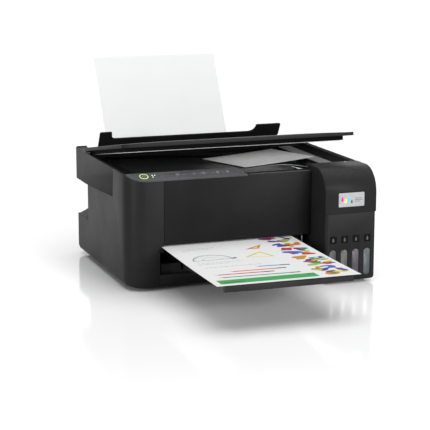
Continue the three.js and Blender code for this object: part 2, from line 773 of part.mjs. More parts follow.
// The foam mat hangs in a thin frame under the cover, which hides its sides.
const matDepth = 7;
const matFrameWall = 1.8;
const matSides = [tubLeft + 6, tubRight - 17, -lidLength + 10, -12];
function aroundMat(room, low, high) {
  const [x0, x1, y0, y1] = matSides;
  return block(x0 - room, x1 + room, y0 - room, y1 + room, low, high);
}
const matFrame = cut(
  aroundMat(gap + matFrameWall, lidLow - matDepth + 0.6, lidHigh - lidSkin + 0.01),
  aroundMat(gap, lidLow - matDepth - 1, lidHigh),
);
addPiece(lid, 'lid_cover', join(lidShell, matFrame, ...lidBosses), casing);
addPiece(lid, 'lid_mat', aroundMat(0, lidLow - matDepth, lidHigh - lidSkin - gap), matPlastic);

// ---- output tray: two flat slides on a shallow slope ----
const tray = new THREE.Group();
tray.position.set(paperMiddle, fasciaFront, trayLevel);
tray.rotation.x = -traySlope * degree;
printer.add(tray);

// In the tray's own frame y runs inwards from the fascia and z = 0 is the paper surface.
const slideLength = 150;
const slideRear = 28;
const slideHalf = trayWidth / 2;
const slidePlate = cut(
  block(-slideHalf, slideHalf, slideRear - slideLength, slideRear, -3, 2.6),
  block(-slideHalf + 3, slideHalf - 3, slideRear - slideLength - 1, slideRear - 4, -0.6, 9),
);
addPiece(tray, 'output_tray', slidePlate, guidePlastic);
const extensionHalf = slideHalf - 3 - gap;
const lipHalf = lipWidth / 2;
const lipLow = 0.6;
const lipHigh = 10.2;
const extensionRear = -trayReach + 142;
const lipBar = solid(prismX(rounded([
  [-trayReach - 4, lipLow, 1.5],
  [-trayReach + 5, lipLow, 1.5],
  [-trayReach + 5, lipHigh - 1, 2],
  [-trayReach - 4, lipHigh, 3],
], 4), -lipHalf, lipHalf));
const extensionRibs = [-40, 0, 40].map((x) => block(
  x - 1, x + 1, -trayReach + 3, extensionRear - 6, 1.5, 4,
));
addPiece(tray, 'tray_extension', join(
  block(-extensionHalf, extensionHalf, -trayReach, extensionRear, -0.2, 2.2),
  lipBar,
  ...extensionRibs,
), guidePlastic);

const trayMatrix = new THREE.Matrix4().makeRotationX(-traySlope * degree);
trayMatrix.setPosition(paperMiddle, fasciaFront, trayLevel);
const cheekTop = 39;
const guideFront = fasciaFront + 8;
const guideRear = 38;
const guideLow = caseBottom + wall + 3;
const guideBody = block(columnStep + 4, tankLeft - 4, guideFront, guideRear, guideLow, cheekTop);
const channel = solid(box(
  -slideHalf - gap - 3, slideHalf + gap + 3, -60, 240, -3.4, 60,
).applyMatrix4(trayMatrix));
const guideHollows = [
  [columnStep + 7, paperMiddle - slideHalf - 8],
  [paperMiddle + slideHalf + 8, tankLeft - 7],
].map(([x0, x1]) => block(x0, x1, guideFront + 4, guideRear + 1, caseBottom + 1, cheekTop - 3));
const underHollow = solid(box(
  -slideHalf + 4, slideHalf - 4, 12, 240, -60, -6,
).applyMatrix4(trayMatrix));
addPiece(printer, 'tray_guide', cut(guideBody, channel, ...guideHollows, underHollow), guidePlastic);

// ---- rear paper feeder ----
const lean = new THREE.Matrix4().makeRotationX(-paperLean * degree);
lean.setPosition(0, paperEntryY, wallTop);

// In the feeder's own frame z runs up the sheet and y = 0 is the sheet itself.
function leaned(geometry) {
  return solid(geometry.applyMatrix4(lean));
}

const plateFront = 1.5;
const plateBack = 4;
const plateLow = -128;
const cheekOutline = [
  [lidHingeY + 1.8, 128],
  [bodyRear - wall - gap, 128],
  [bodyRear - wall - gap, wallTop - 1],
  [lidHingeY + 1.8, wallTop - 6],
];
const guardY = 144;
const guardZ = wallTop - 1.4;
const guardPin = 1.2;
const cheeks = [[feederLeft - 3, feederLeft], [feederRight, feederRight + 3]].map(([x0, x1]) => cut(
  join(
    solid(prismX(cheekOutline, x0, x1)),
    block(x0, x1, guardY - 3, guardY + 3, 160, guardZ),
    solid(rodX(3, x0, x1, guardY, guardZ)),
  ),
  solid(rodX(2.9, x0 - 1, x1 + 1, pivotY, pivotZ)),
  solid(rodX(guardPin + 0.3, x0 - 1, x1 + 1, guardY, guardZ)),
));
const plateLeft = Math.max(recessInner + recessWall, feederLeft - 2) + 1;
const plate = leaned(box(feederLeft - 1, feederRight + 1, plateFront, plateBack, -52, -5)).add(
  leaned(box(plateLeft, feederRight - 40, plateFront, plateBack, plateLow, -51)),
);
const throat = block(feederLeft - 1, feederRight + 1, lidHingeY + 1.8, lidHingeY + 3.8, 146, wallTop - 5);
const feederShelf = block(
  feederLeft - 1, feederRight + 1, bodyRear - wall - 4, bodyRear - wall - gap, 128, wallTop - 3.4,
);
const supportHalf = supportWidth / 2;
const supportSlot = leaned(box(
  paperMiddle - supportHalf - 1, paperMiddle + supportHalf + 1, plateBack - 0.2, plateBack + 4, -far, 60,
));
const feeder = cut(join(...cheeks, plate, throat, feederShelf), supportSlot);
addPiece(printer, 'rear_feeder', feeder, innerPlastic);

// Paper support: slides out of the feeder behind its back plate.
const supportLow = -25;
const supportHigh = supportLow + supportLength;
const supportFront = plateBack + gap;
const supportPlate = extrude(rounded([
  [paperMiddle - supportHalf, supportLow, 2],
  [paperMiddle + supportHalf, supportLow, 2],
  [paperMiddle + supportHalf, supportHigh, 16],
  [paperMiddle - supportHalf, supportHigh, 16],
], 6), 2.5).rotateX(Math.PI / 2).translate(0, supportFront + 2.5, 0);
const supportWindow = box(
  paperMiddle - 24, paperMiddle + 24,
  supportFront - 1, supportFront + 1.2,
  supportLow + 20, supportHigh - 30,
);
addPiece(printer, 'paper_support', leaned(supportPlate).subtract(leaned(supportWindow)), guidePlastic);

// Edge guides: two upright cheeks that close on the paper together.
const guideOutline = [[-8, -70], [1.1, -70], [1.1, -8], [-3, -8], [-8, -16]];
for (const [name, side] of [['edge_guide_left', -1], ['edge_guide_right', 1]]) {
  const edge = paperMiddle + side * (pageWidth / 2 + 1);
  const low = Math.min(edge, edge + side * 2.5);
  const foot = Math.min(edge, edge - side * 14);
  const shape = leaned(prismX(guideOutline, low, low + 2.5)).add(
    leaned(box(foot, foot + 14.01, 0.3, 1.1, -60, -20)),
  );
  addPiece(printer, name, shape, guidePlastic);
}

// Feeder guard: a long flap with two ears on two pins, tipped forwards over the lid's rear edge.
const guardEnd = feederRight + 17.5; // the right ear reaches out over the rear shelf
const guardFoot = -2;
const earLift = 9.5; // height at which the right ear starts
const guardShape = rounded([
  [feederLeft + 4, guardFoot, 0],
  [feederRight - 2, guardFoot, 0],
  [feederRight - 2, earLift, 0],
  [guardEnd, earLift, 3],
  [guardEnd, earHeight, 2],
  [paperMiddle + 145, earHeight, 1],
  [paperMiddle + 144, guardHeight, 12],
  [paperMiddle - 103.5, guardHeight, 6],
  [paperMiddle - 105.3, earHeight, 1],
  [feederLeft + 4, earHeight, 2],
], 4);
const guardFlap = join(
  solid(prismY(guardShape, 0.4, 2.6)),
  solid(rodX(2, feederLeft + gap, feederRight - gap, 0, 0, 14)),
  solid(rodX(guardPin, feederLeft - 2.4, feederRight + 2.4, 0, 0, 14)),
).rotate([guardTip, 0, 0]).translate([0, guardY, guardZ]);
addPiece(printer, 'feeder_guard', guardFlap, casingInner);

// ---- mechanism ----
const chassisLeft = -156;
const chassisRight = 98;
const rollerY = 62;
const feedRadius = 6;
const feedZ = pagePlane - feedRadius;
const exitY = -85;
const exitRadius = 5;
const exitZ = pagePlane - exitRadius;
const pickupRadius = 16;
const pickupDepth = -pickupRadius - 0.5;
const pickupRise = -105;
const pickupY = paperEntryY + pickupRise * Math.sin(paperLean * degree)
  + pickupDepth * Math.cos(paperLean * degree);
const pickupZ = wallTop + pickupRise * Math.cos(paperLean * degree)
  - pickupDepth * Math.sin(paperLean * degree);

const chassisTop = 126;
const pulleyRadius = 6;
const beltY = [59, 65];
const beltZ = 92;
const beltThickness = 1.2;
const beltRoom = pulleyRadius + beltThickness + 1.5;
const railBack = 52;
const railLow = 84;
const sidePlates = [
  block(chassisLeft, chassisLeft + 2, exitY - 12, beltY[1] + 7, 42, chassisTop),
  block(chassisRight, chassisRight + 2, exitY - 12, beltY[1] + 7, 42, 62),
  block(chassisRight, chassisRight + 2, railBack + gap, beltY[1] + 7, 42, chassisTop),
];
const plateWindows = [
  block(-far, far, beltY[0] - gap, beltY[1] + gap, beltZ - beltRoom, beltZ + beltRoom),
  block(0, far, 0, beltY[1] - gap, 66, beltZ - pulleyRadius),
  block(-far, far, railBack - 2 - gap, railBack + gap, railLow - gap, far),
];
const crossBeam = block(chassisLeft, chassisRight + 2, 10, 34, 42, 44.5);
const shaftHoles = [
  solid(rodX(3.4, -far, far, rollerY, feedZ)),
  solid(rodX(3.4, -far, far, exitY, exitZ)),
];
const pickupArms = [chassisLeft, chassisRight].map((x) => block(
  x, x + 2, beltY[1] + 2, pickupY + 5, 56, pickupZ + 8,
));
const pickupHoles = solid(rodX(4.4, -far, far, pickupY, pickupZ));
const chassis = cut(
  join(...sidePlates, crossBeam, ...pickupArms), ...shaftHoles, pickupHoles, ...plateWindows,
);
addPiece(printer, 'chassis_frame', chassis, steel);

const railEnd = halfWidth - 12;
const beltEnds = railEnd - 14;
const guideRail = join(
  block(-railEnd, railEnd, railBack - 2, railBack, railLow, chassisTop + 5),
  block(-railEnd, railEnd, railBack - 10, railBack, chassisTop + 3, chassisTop + 5),
  solid(rodY(pulleyRadius, ...beltY, -beltEnds, beltZ)),
  solid(rodY(2.5, railBack - 1, beltY[0] + 1, -beltEnds, beltZ, 14)),
);
addPiece(printer, 'carriage_rail', guideRail, steel);

// The print head carriage is parked at the right, above the capping station.
const carriageWidth = 60;
const carriageRight = halfWidth - 15.5;
const carriageX = [carriageRight - carriageWidth, carriageRight];
const carriageBody = cut(
  block(...carriageX, -28, 49, pagePlane + 2.4, chassisTop),
  block(carriageX[0] + 3, carriageX[1] - 3, -25, 30, pagePlane + 24, chassisTop + 1),
);
const headNozzles = block(carriageX[0] + 12, carriageX[1] - 12, -12, 14, pagePlane + 1.2, pagePlane + 3);
const clampTop = railLow - gap;
const beltClamp = block(carriageX[0] + 24, carriageX[1] - 24, 44, beltY[1] - 1, 72, clampTop);
addPiece(printer, 'carriage', join(carriageBody, headNozzles, beltClamp), innerPlastic);

// Toothed belt in an upright loop behind the rail, with its motor at the right end.
const beltLoop = (inset) => [
  ...arc(beltEnds, beltZ, pulleyRadius + 0.4 + inset, -90, 90, 10),
  ...arc(-beltEnds, beltZ, pulleyRadius + 0.4 + inset, 90, 270, 10),
];
const beltRing = cut(
  solid(prismY(beltLoop(beltThickness), ...beltY)),
  solid(prismY(beltLoop(0), beltY[0] - 1, beltY[1] + 1)),
);
addPiece(printer, 'timing_belt', beltRing, belt);
addPiece(printer, 'motor_pulley', solid(rodY(pulleyRadius, ...beltY, beltEnds, beltZ)), gearPlastic);
const carriageMotor = join(
  solid(rodY(15, beltY[1] + 2, beltY[1] + 32, beltEnds, beltZ)),
  solid(rodY(4, beltY[1] + gap, beltY[1] + 3, beltEnds, beltZ)),
);
addPiece(printer, 'carriage_motor', carriageMotor, steel);

// Rollers: a steel shaft with rubber tyres.
function roller(shaftRadius, tyreRadius, y, z, ends, tyres) {
  return join(
    solid(rodX(shaftRadius, ...ends, y, z)),
    ...tyres.map(([x0, x1]) => solid(rodX(tyreRadius, x0, x1, y, z, 20))),
  );
}

const tyrePlaces = [-134, -74, -14, 46].map((x) => [x, x + 30]);
const shaftEnds = [chassisLeft - 6, chassisRight + 4];
addPiece(printer, 'feed_roller', roller(3, feedRadius, rollerY, feedZ, shaftEnds, tyrePlaces), rubber);
addPiece(printer, 'exit_roller', roller(3, exitRadius, exitY, exitZ, shaftEnds, tyrePlaces), rubber);
addPiece(printer, 'pickup_roller', roller(
  4, pickupRadius, pickupY, pickupZ, shaftEnds, [[paperMiddle - 26, paperMiddle + 26]],
), rubber);

// Spur gears with straight-sided teeth, wide enough apart to run freely.
function gear(teeth, module, width, x, y, z, bore, phase) {
  const points = [];
  const tip = (module * teeth) / 2 + module * 0.9;
  const root = (module * teeth) / 2 - module * 1.1;
  const steps = [[-0.3, root], [-0.12, tip], [0.12, tip], [0.3, root]];
  for (let i = 0; i < teeth; i += 1) {
    for (const [turn, radius] of steps) {
      const angle = ((i + turn + phase) / teeth) * 2 * Math.PI;
      points.push([y + radius * Math.cos(angle), z + radius * Math.sin(angle)]);
    }
  }
  return solid(prismX(points, x, x + width)).subtract(solid(rodX(bore, x - 1, x + width + 1, y, z, 14)));
}

const gearModule = 1;
const gearTeeth = 36;
const pinionTeeth = 12;
const gearX = chassisLeft - 12;
const pinionY = rollerY - ((gearTeeth + pinionTeeth) / 2) * gearModule;
const feedGear = gear(gearTeeth, gearModule, 5, gearX, rollerY, feedZ, 3.01, 0);
const gearHub = cut(
  solid(rodX(6, gearX, gearX + 5.6, rollerY, feedZ)),
  solid(rodX(3.01, gearX - 1, gearX + 9, rollerY, feedZ)),
  solid(rodX(5, gearX - 1, gearX + 5, rollerY, feedZ)),
);
addPiece(printer, 'feed_gear', cut(
  join(feedGear, gearHub), solid(rodX(3.3, gearX + 5, gearX + 9, rollerY, feedZ)),
), gearPlastic);
addPiece(printer, 'feed_pinion', gear(
  pinionTeeth, gearModule, 5, gearX, pinionY, feedZ, 1.6, 0.5,
), gearPlastic);
const feedMotor = join(
  solid(rodX(14, gearX + 7, gearX + 11, pinionY - 4, feedZ)),
  solid(rodX(1.3, gearX + 0.5, gearX + 9, pinionY, feedZ, 14)),
);
addPiece(printer, 'feed_motor', feedMotor, steel);

const platenRibs = [];
for (let x = -140; x < 88; x += 19) {
  platenRibs.push(block(x, x + 2, -44, 44, 60, pagePlane - 0.6));
}
addPiece(printer, 'platen', join(block(-148, 94, -48, 50, 58, 61), ...platenRibs), innerPlastic);

const underHead = (inset) => [carriageX[0] + inset, carriageX[1] - inset];
const station = cut(
  block(carriageX[0] - 2, carriageX[1], -34, 46, caseBottom + wall + gap, 62),
  block(...underHead(10), -18, 20, 56, 70),
);
const sealCap = cut(
  block(...underHead(12), -16, 18, 54, pagePlane),
  block(...underHead(15), -13, 15, 60, 80),
);
addPiece(printer, 'capping_station', join(station, sealCap), innerPlastic);

addPiece(printer, 'power_supply', block(
  inletX[0] - 2, inletX[0] + 50, 122, bodyRear - wall - 16, caseBottom + wall + 9, 54,
), innerPlastic);
const boardY = bodyRear - 24;
const chips = [[50, 40], [78, 62], [108, 44]].map(([x, z]) => block(
  x, x + 16, boardY - 3, boardY + 1, z, z + 14,
));
addPiece(printer, 'main_board', join(
  block(40, 134, boardY, boardY + 1.6, 28, 92),
  ...chips,
), board);

const inlet = cut(
  block(inletX[0] + gap, inletX[1] - gap, bodyRear - 15, bodyRear - 0.8, inletZ[0] + gap, inletZ[1] - gap),
  block(inletX[0] + 3, inletX[1] - 3, bodyRear - 12, bodyRear + 1, inletZ[0] + 3, inletZ[1] - 3),
);
const inletPins = [-4.5, 4.5].map((offset) => solid(rodY(
  1.6, bodyRear - 13, bodyRear - 3, (inletX[0] + inletX[1]) / 2 + offset, (inletZ[0] + inletZ[1]) / 2, 12,
)));
addPiece(printer, 'power_inlet', join(inlet, ...inletPins), portPlastic);
const usb = cut(
  block(usbX[0] + gap, usbX[1] - gap, bodyRear - 15, bodyRear - 0.8, usbZ[0] + gap, usbZ[1] - gap),
  block(usbX[0] + 2, usbX[1] - 2, bodyRear - 12, bodyRear + 1, usbZ[0] + 2, usbZ[1] - 2),
);
const usbTongue = block(
  usbX[0] + 4, usbX[1] - 4, bodyRear - 13, bodyRear - 3, usbZ[1] - 4.6, usbZ[1] - 2.6,
);
addPiece(printer, 'usb_port', join(usb, usbTongue), steel);

// ---- origin: below the middle of the whole assembly, as it stands with its slides out ----
const bounds = new THREE.Box3().setFromObject(printer);
printer.position.set(
  -(bounds.min.x + bounds.max.x) / 2,
  -(bounds.min.y + bounds.max.y) / 2,
  -bounds.min.z,
);

export default printer;
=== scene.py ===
import json
import math
import random

import bmesh
import bpy
from mathutils import Matrix, Vector


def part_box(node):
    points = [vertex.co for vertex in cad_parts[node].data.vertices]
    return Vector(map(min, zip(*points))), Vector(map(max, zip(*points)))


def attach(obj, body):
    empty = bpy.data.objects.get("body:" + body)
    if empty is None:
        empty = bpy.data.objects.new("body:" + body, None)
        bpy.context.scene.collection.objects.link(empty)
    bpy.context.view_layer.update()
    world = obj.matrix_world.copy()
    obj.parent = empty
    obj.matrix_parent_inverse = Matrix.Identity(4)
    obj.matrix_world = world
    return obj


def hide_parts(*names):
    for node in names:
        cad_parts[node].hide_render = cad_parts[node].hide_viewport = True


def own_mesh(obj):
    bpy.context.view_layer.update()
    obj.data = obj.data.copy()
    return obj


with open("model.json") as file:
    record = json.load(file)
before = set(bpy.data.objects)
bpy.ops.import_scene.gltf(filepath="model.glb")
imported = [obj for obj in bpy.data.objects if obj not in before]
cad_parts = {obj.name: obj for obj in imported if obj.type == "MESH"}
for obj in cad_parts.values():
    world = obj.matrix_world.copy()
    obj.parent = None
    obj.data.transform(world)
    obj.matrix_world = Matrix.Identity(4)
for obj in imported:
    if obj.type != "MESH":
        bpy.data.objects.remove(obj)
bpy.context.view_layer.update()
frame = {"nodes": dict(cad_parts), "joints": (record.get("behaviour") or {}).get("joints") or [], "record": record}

# ---- studio ----
# The printer stands on a glossy white floor under a wide soft ceiling light. A tall soft box at
# its left draws the long highlight down the rounded corner, and the far camera keeps it square.
mm = 0.001


def put(tree, kind, sockets=(), **settings):
    """Adds a shader node; a socket given as a value is linked, a number or colour is set."""
    node = tree.nodes.new(kind)
    for key, value in settings.items():
        setattr(node, key, value)
    for key, value in dict(sockets).items():
        if isinstance(value, bpy.types.NodeSocket):
            tree.links.new(value, node.inputs[key])
        else:
            node.inputs[key].default_value = value
    return node


def new_finish(name, colour, roughness, **shader_values):
    """A material whose Principled shader has these plain values."""
    made = bpy.data.materials.new(name)
    made.use_nodes = True
    tree = made.node_tree
    shader = tree.nodes["Principled BSDF"]
    shader.inputs["Base Color"].default_value = (*colour, 1)
    shader.inputs["Roughness"].default_value = roughness
    for label, value in shader_values.items():
        shader.inputs[label.replace("_", " ")].default_value = value
    return made, tree, shader


def object_from(name, shape, finish):
    """Turns a finished bmesh into an object of this material."""
    bmesh.ops.recalc_face_normals(shape, faces=shape.faces)
    mesh = bpy.data.meshes.new(name)
    shape.to_mesh(mesh)
    shape.free()
    mesh.materials.append(finish)
    made = bpy.data.objects.new(name, mesh)
    bpy.context.collection.objects.link(made)
    return made


floor_white, floor_tree, floor_shader = new_finish(
    "floor_white", (0.74, 0.74, 0.74), 0.12, IOR=2.0,
)
floor_noise = put(floor_tree, "ShaderNodeTexNoise", {"Scale": 3.0, "Detail": 3.0})
floor_roughness = put(floor_tree, "ShaderNodeMapRange", {
    "Value": floor_noise.outputs["Fac"], "To Min": 0.10, "To Max": 0.14,
})
floor_tree.links.new(floor_roughness.outputs["Result"], floor_shader.inputs["Roughness"])
floor_shape = bmesh.new()
bmesh.ops.create_grid(floor_shape, x_segments=8, y_segments=8, size=30.0)
studio_floor = object_from("studio_floor", floor_shape, floor_white)

studio_world = bpy.data.worlds.new("studio_white")
bpy.context.scene.world = studio_world
studio_world.use_nodes = True
world_tree = studio_world.node_tree
world_tree.nodes.clear()
ray_kind = put(world_tree, "ShaderNodeLightPath")
fill_light = put(world_tree, "ShaderNodeBackground", {
    "Color": (0.98, 0.99, 1, 1), "Strength": 0.22,
})
seen_white = put(world_tree, "ShaderNodeBackground", {"Color": (1, 1, 1, 1), "Strength": 1.05})
seen_or_glossy = put(world_tree, "ShaderNodeMath", {
    0: ray_kind.outputs["Is Camera Ray"], 1: ray_kind.outputs["Is Glossy Ray"],
}, operation="MAXIMUM")
world_mix = put(world_tree, "ShaderNodeMixShader", {
    0: seen_or_glossy.outputs[0], 1: fill_light.outputs[0], 2: seen_white.outputs[0],
})
put(world_tree, "ShaderNodeOutputWorld", {"Surface": world_mix.outputs[0]})
bpy.context.scene.view_settings.view_transform = "Standard"


def turned_to(obj, direction):
    obj.rotation_mode = "QUATERNION"
    obj.rotation_quaternion = Vector(direction).to_track_quat("-Z", "Y")


ceiling = bpy.data.lights.new("ceiling_light", "SUN")
ceiling.energy = 3.3
ceiling.angle = math.radians(64)
ceiling_lamp = bpy.data.objects.new("ceiling_light", ceiling)
bpy.context.collection.objects.link(ceiling_lamp)
turned_to(ceiling_lamp, (-0.08, 0.02, -1.0))


def soft_box(name, place, aim, width, height, power):
    light = bpy.data.lights.new(name, "AREA")
    light.shape = "RECTANGLE"
    light.size, light.size_y = width, height
    light.energy = power
    lamp = bpy.data.objects.new(name, light)
    bpy.context.collection.objects.link(lamp)
    lamp.location = place
    turned_to(lamp, Vector(aim) - Vector(place))


soft_box("left_soft_box", (-2.4, -0.9, 0.60), (-0.18, -0.05, 0.12), 0.4, 1.0, 34)
soft_box("right_soft_box", (0.9, -2.9, 0.95), (0.06, 0.05, 0.17), 1.3, 0.7, 92)

camera_data = bpy.data.cameras.new("studio_camera")
camera_data.lens = 124.58
camera_data.sensor_width = 36
camera_data.clip_end = 60
camera = bpy.data.objects.new("studio_camera", camera_data)
bpy.context.collection.objects.link(camera)
bpy.context.scene.camera = camera
camera_azimuth, camera_elevation = math.radians(-19.95), math.radians(11.755)
camera_distance = 2.35
camera_target = Vector((-0.0095, 0.0683, 0.0832))
camera_back = Vector((
    math.sin(camera_azimuth) * math.cos(camera_elevation),
    -math.cos(camera_azimuth) * math.cos(camera_elevation),
    math.sin(camera_elevation),
))
camera.location = camera_target + camera_back * camera_distance
turned_to(camera, -camera_back)

# ---- base pan and feet ----
# The base pan is a black ABS tray that carries the mechanism; the side, rear and front mouldings
# clip round it. Four rubber feet are pressed into its corners.
body_of_node = {
    node: body
    for body, nodes in frame["record"]["behaviour"]["bodies"].items()
    for node in nodes
}
edge_angle = math.radians(32)


def effect_group(name, inputs, outputs):
    """A shader node group with plain number inputs and outputs."""
    group = bpy.data.node_groups.new(name, "ShaderNodeTree")
    for label, value in inputs.items():
        socket = group.interface.new_socket(
            label, in_out="INPUT", socket_type="NodeSocketFloat",
        )
        socket.default_value = value
    for label in outputs:
        group.interface.new_socket(label, in_out="OUTPUT", socket_type="NodeSocketFloat")
    return group, put(group, "NodeGroupInput"), put(group, "NodeGroupOutput")


spark_texture, spark_in, spark_out = effect_group(
    "spark_texture", {"Grain": 2400.0, "Patches": 14.0}, ("Height", "Patch"),
)
spark_place = put(spark_texture, "ShaderNodeTexCoord")
spark_grain = put(spark_texture, "ShaderNodeTexNoise", {
    "Vector": spark_place.outputs["Object"], "Scale": spark_in.outputs["Grain"],
    "Detail": 2.0, "Roughness": 0.6,
})
spark_patch = put(spark_texture, "ShaderNodeTexNoise", {
    "Vector": spark_place.outputs["Object"], "Scale": spark_in.outputs["Patches"],
    "Detail": 4.0, "Roughness": 0.55,
})
spark_spread = put(spark_texture, "ShaderNodeMapRange", {
    "Value": spark_patch.outputs["Fac"], "From Min": 0.32, "From Max": 0.68,
})
spark_texture.links.new(spark_grain.outputs["Fac"], spark_out.inputs["Height"])
spark_texture.links.new(spark_spread.outputs["Result"], spark_out.inputs["Patch"])

edge_wear, wear_in, wear_out = effect_group(
    "edge_wear", {"Width": 0.0008, "Patches": 90.0}, ("Mask",),
)
wear_round = put(edge_wear, "ShaderNodeBevel", {"Radius": wear_in.outputs["Width"]}, samples=4)
wear_flat = put(edge_wear, "ShaderNodeNewGeometry")
wear_turn = put(edge_wear, "ShaderNodeVectorMath", {
    0: wear_round.outputs["Normal"], 1: wear_flat.outputs["Normal"],
}, operation="DOT_PRODUCT")
wear_edge = put(edge_wear, "ShaderNodeMapRange", {
    "Value": wear_turn.outputs["Value"], "From Min": 0.995, "From Max": 0.86,
})
wear_place = put(edge_wear, "ShaderNodeTexCoord")
wear_patch = put(edge_wear, "ShaderNodeTexNoise", {
    "Vector": wear_place.outputs["Object"], "Scale": wear_in.outputs["Patches"], "Detail": 3.0,
})
wear_break = put(edge_wear, "ShaderNodeMapRange", {
    "Value": wear_patch.outputs["Fac"], "From Min": 0.3, "From Max": 0.6, "To Min": 0.35,
})
wear_mask = put(edge_wear, "ShaderNodeMath", {
    0: wear_edge.outputs["Result"], 1: wear_break.outputs["Result"],
}, operation="MULTIPLY")
edge_wear.links.new(wear_mask.outputs[0], wear_out.inputs["Mask"])

settled_dust, dust_in, dust_out = effect_group(
    "settled_dust", {"Speckle": 420.0}, ("Mask",),
)
dust_place = put(settled_dust, "ShaderNodeTexCoord")
dust_side = put(settled_dust, "ShaderNodeSeparateXYZ", {0: dust_place.outputs["Normal"]})
dust_up = put(settled_dust, "ShaderNodeMapRange", {
    "Value": dust_side.outputs["Z"], "From Min": 0.55, "From Max": 1.0,
})
dust_speck = put(settled_dust, "ShaderNodeTexNoise", {
    "Vector": dust_place.outputs["Object"], "Scale": dust_in.outputs["Speckle"], "Detail": 3.0,
})
dust_spread = put(settled_dust, "ShaderNodeMapRange", {
    "Value": dust_speck.outputs["Fac"], "From Min": 0.45, "From Max": 0.8,
})
dust_mask = put(settled_dust, "ShaderNodeMath", {
    0: dust_up.outputs["Result"], 1: dust_spread.outputs["Result"],
}, operation="MULTIPLY")
settled_dust.links.new(dust_mask.outputs[0], dust_out.inputs["Mask"])


def placed(tree, group, **values):
    """Puts an effect group into a material with its own values."""
    node = put(tree, "ShaderNodeGroup", node_tree=group)
    for label, value in values.items():
        node.inputs[label].default_value = value
    return node


def blended(tree, amount, first, second):
    """Mixes two colours by a mask; returns the colour socket."""
    mix = put(tree, "ShaderNodeMix", data_type="RGBA")
    sockets = mix.inputs[0], mix.inputs[6], mix.inputs[7]
    for socket, value in zip(sockets, (amount, first, second)):
        if isinstance(value, bpy.types.NodeSocket):
            tree.links.new(value, socket)
        elif isinstance(value, (int, float)):
            socket.default_value = value
        else:
            socket.default_value = (*value[:3], 1)
    return mix.outputs[2]


def shade(colour, factor):
    return tuple(part * factor for part in colour)


def moulded_plastic(name, colour, roughness, grain=2400.0, depth=0.25, worn=0.5, dusty=0.05,
                    gloss=0.045):
    """Spark-textured moulded plastic: patchy colour and gloss, rubbed edges and a little dust."""
    made, tree, shader = new_finish(name, colour, roughness, Specular_IOR_Level=gloss)
    texture = placed(tree, spark_texture, Grain=grain, Patches=14.0)
    wear = placed(tree, edge_wear, Width=0.0007, Patches=90.0)
    dust = placed(tree, settled_dust, Speckle=420.0)
    patchy = blended(tree, texture.outputs["Patch"], shade(colour, 0.88), shade(colour, 1.12))
    lighter = tuple(min(1, part * 1.9 + 0.012) for part in colour)
    worn_share = put(tree, "ShaderNodeMath", {0: wear.outputs["Mask"], 1: worn},
                     operation="MULTIPLY")
    rubbed = blended(tree, worn_share.outputs[0], patchy, lighter)
    dust_share = put(tree, "ShaderNodeMath", {0: dust.outputs["Mask"], 1: dusty},
                     operation="MULTIPLY")
    dusted = blended(tree, dust_share.outputs[0], rubbed, (0.42, 0.41, 0.39))
    tree.links.new(dusted, shader.inputs["Base Color"])
    rough = put(tree, "ShaderNodeMapRange", {
        "Value": texture.outputs["Patch"], "To Min": roughness - 0.035, "To Max": roughness + 0.035,
    })
    rough_worn = put(tree, "ShaderNodeMath", {
        0: wear.outputs["Mask"], 1: -0.08, 2: rough.outputs["Result"],
    }, operation="MULTIPLY_ADD")
    tree.links.new(rough_worn.outputs[0], shader.inputs["Roughness"])
    bump = put(tree, "ShaderNodeBump", {
        "Height": texture.outputs["Height"], "Strength": depth, "Distance": 0.00006,
    })
    tree.links.new(bump.outputs["Normal"], shader.inputs["Normal"])
    return made


def softened(node, finish, radius=0.5 * mm, steps=2):
    """A copy of a CAD moulding with its sharp edges rounded, standing for the CAD node."""
    shape = bmesh.new()
    shape.from_mesh(frame["nodes"][node].data)
    bmesh.ops.remove_doubles(shape, verts=shape.verts, dist=2e-6)
    bmesh.ops.dissolve_limit(
        shape, angle_limit=math.radians(0.8), verts=shape.verts, edges=shape.edges,
    )
    piece = object_from(f"{node}_moulding", shape, finish)
    piece.data.shade_smooth()
    edge = piece.modifiers.new("rounded_edge", "BEVEL")
    edge.width = radius
    edge.segments = steps
    edge.limit_method = "ANGLE"
    edge.angle_limit = edge_angle
    edge.harden_normals = True
    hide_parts(node)
    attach(piece, body_of_node[node])
    return piece


casing_black = moulded_plastic("casing_black", (0.0125, 0.0125, 0.013), 0.42)
foot_rubber = moulded_plastic(
    "foot_rubber", (0.012, 0.012, 0.012), 0.8, grain=1500.0, depth=0.5, worn=0.2, gloss=0.1,
)
softened("base_pan", casing_black, 0.6 * mm)
for foot in ("foot_front_left", "foot_front_right", "foot_rear_left", "foot_rear_right"):
    softened(foot, foot_rubber, 0.4 * mm)

# ---- print mechanism ----
# A zinc-plated steel frame and rail carry the print-head carriage, its toothed belt and the
# rollers; platen, capping station, board and supply are screwed to the base pan.


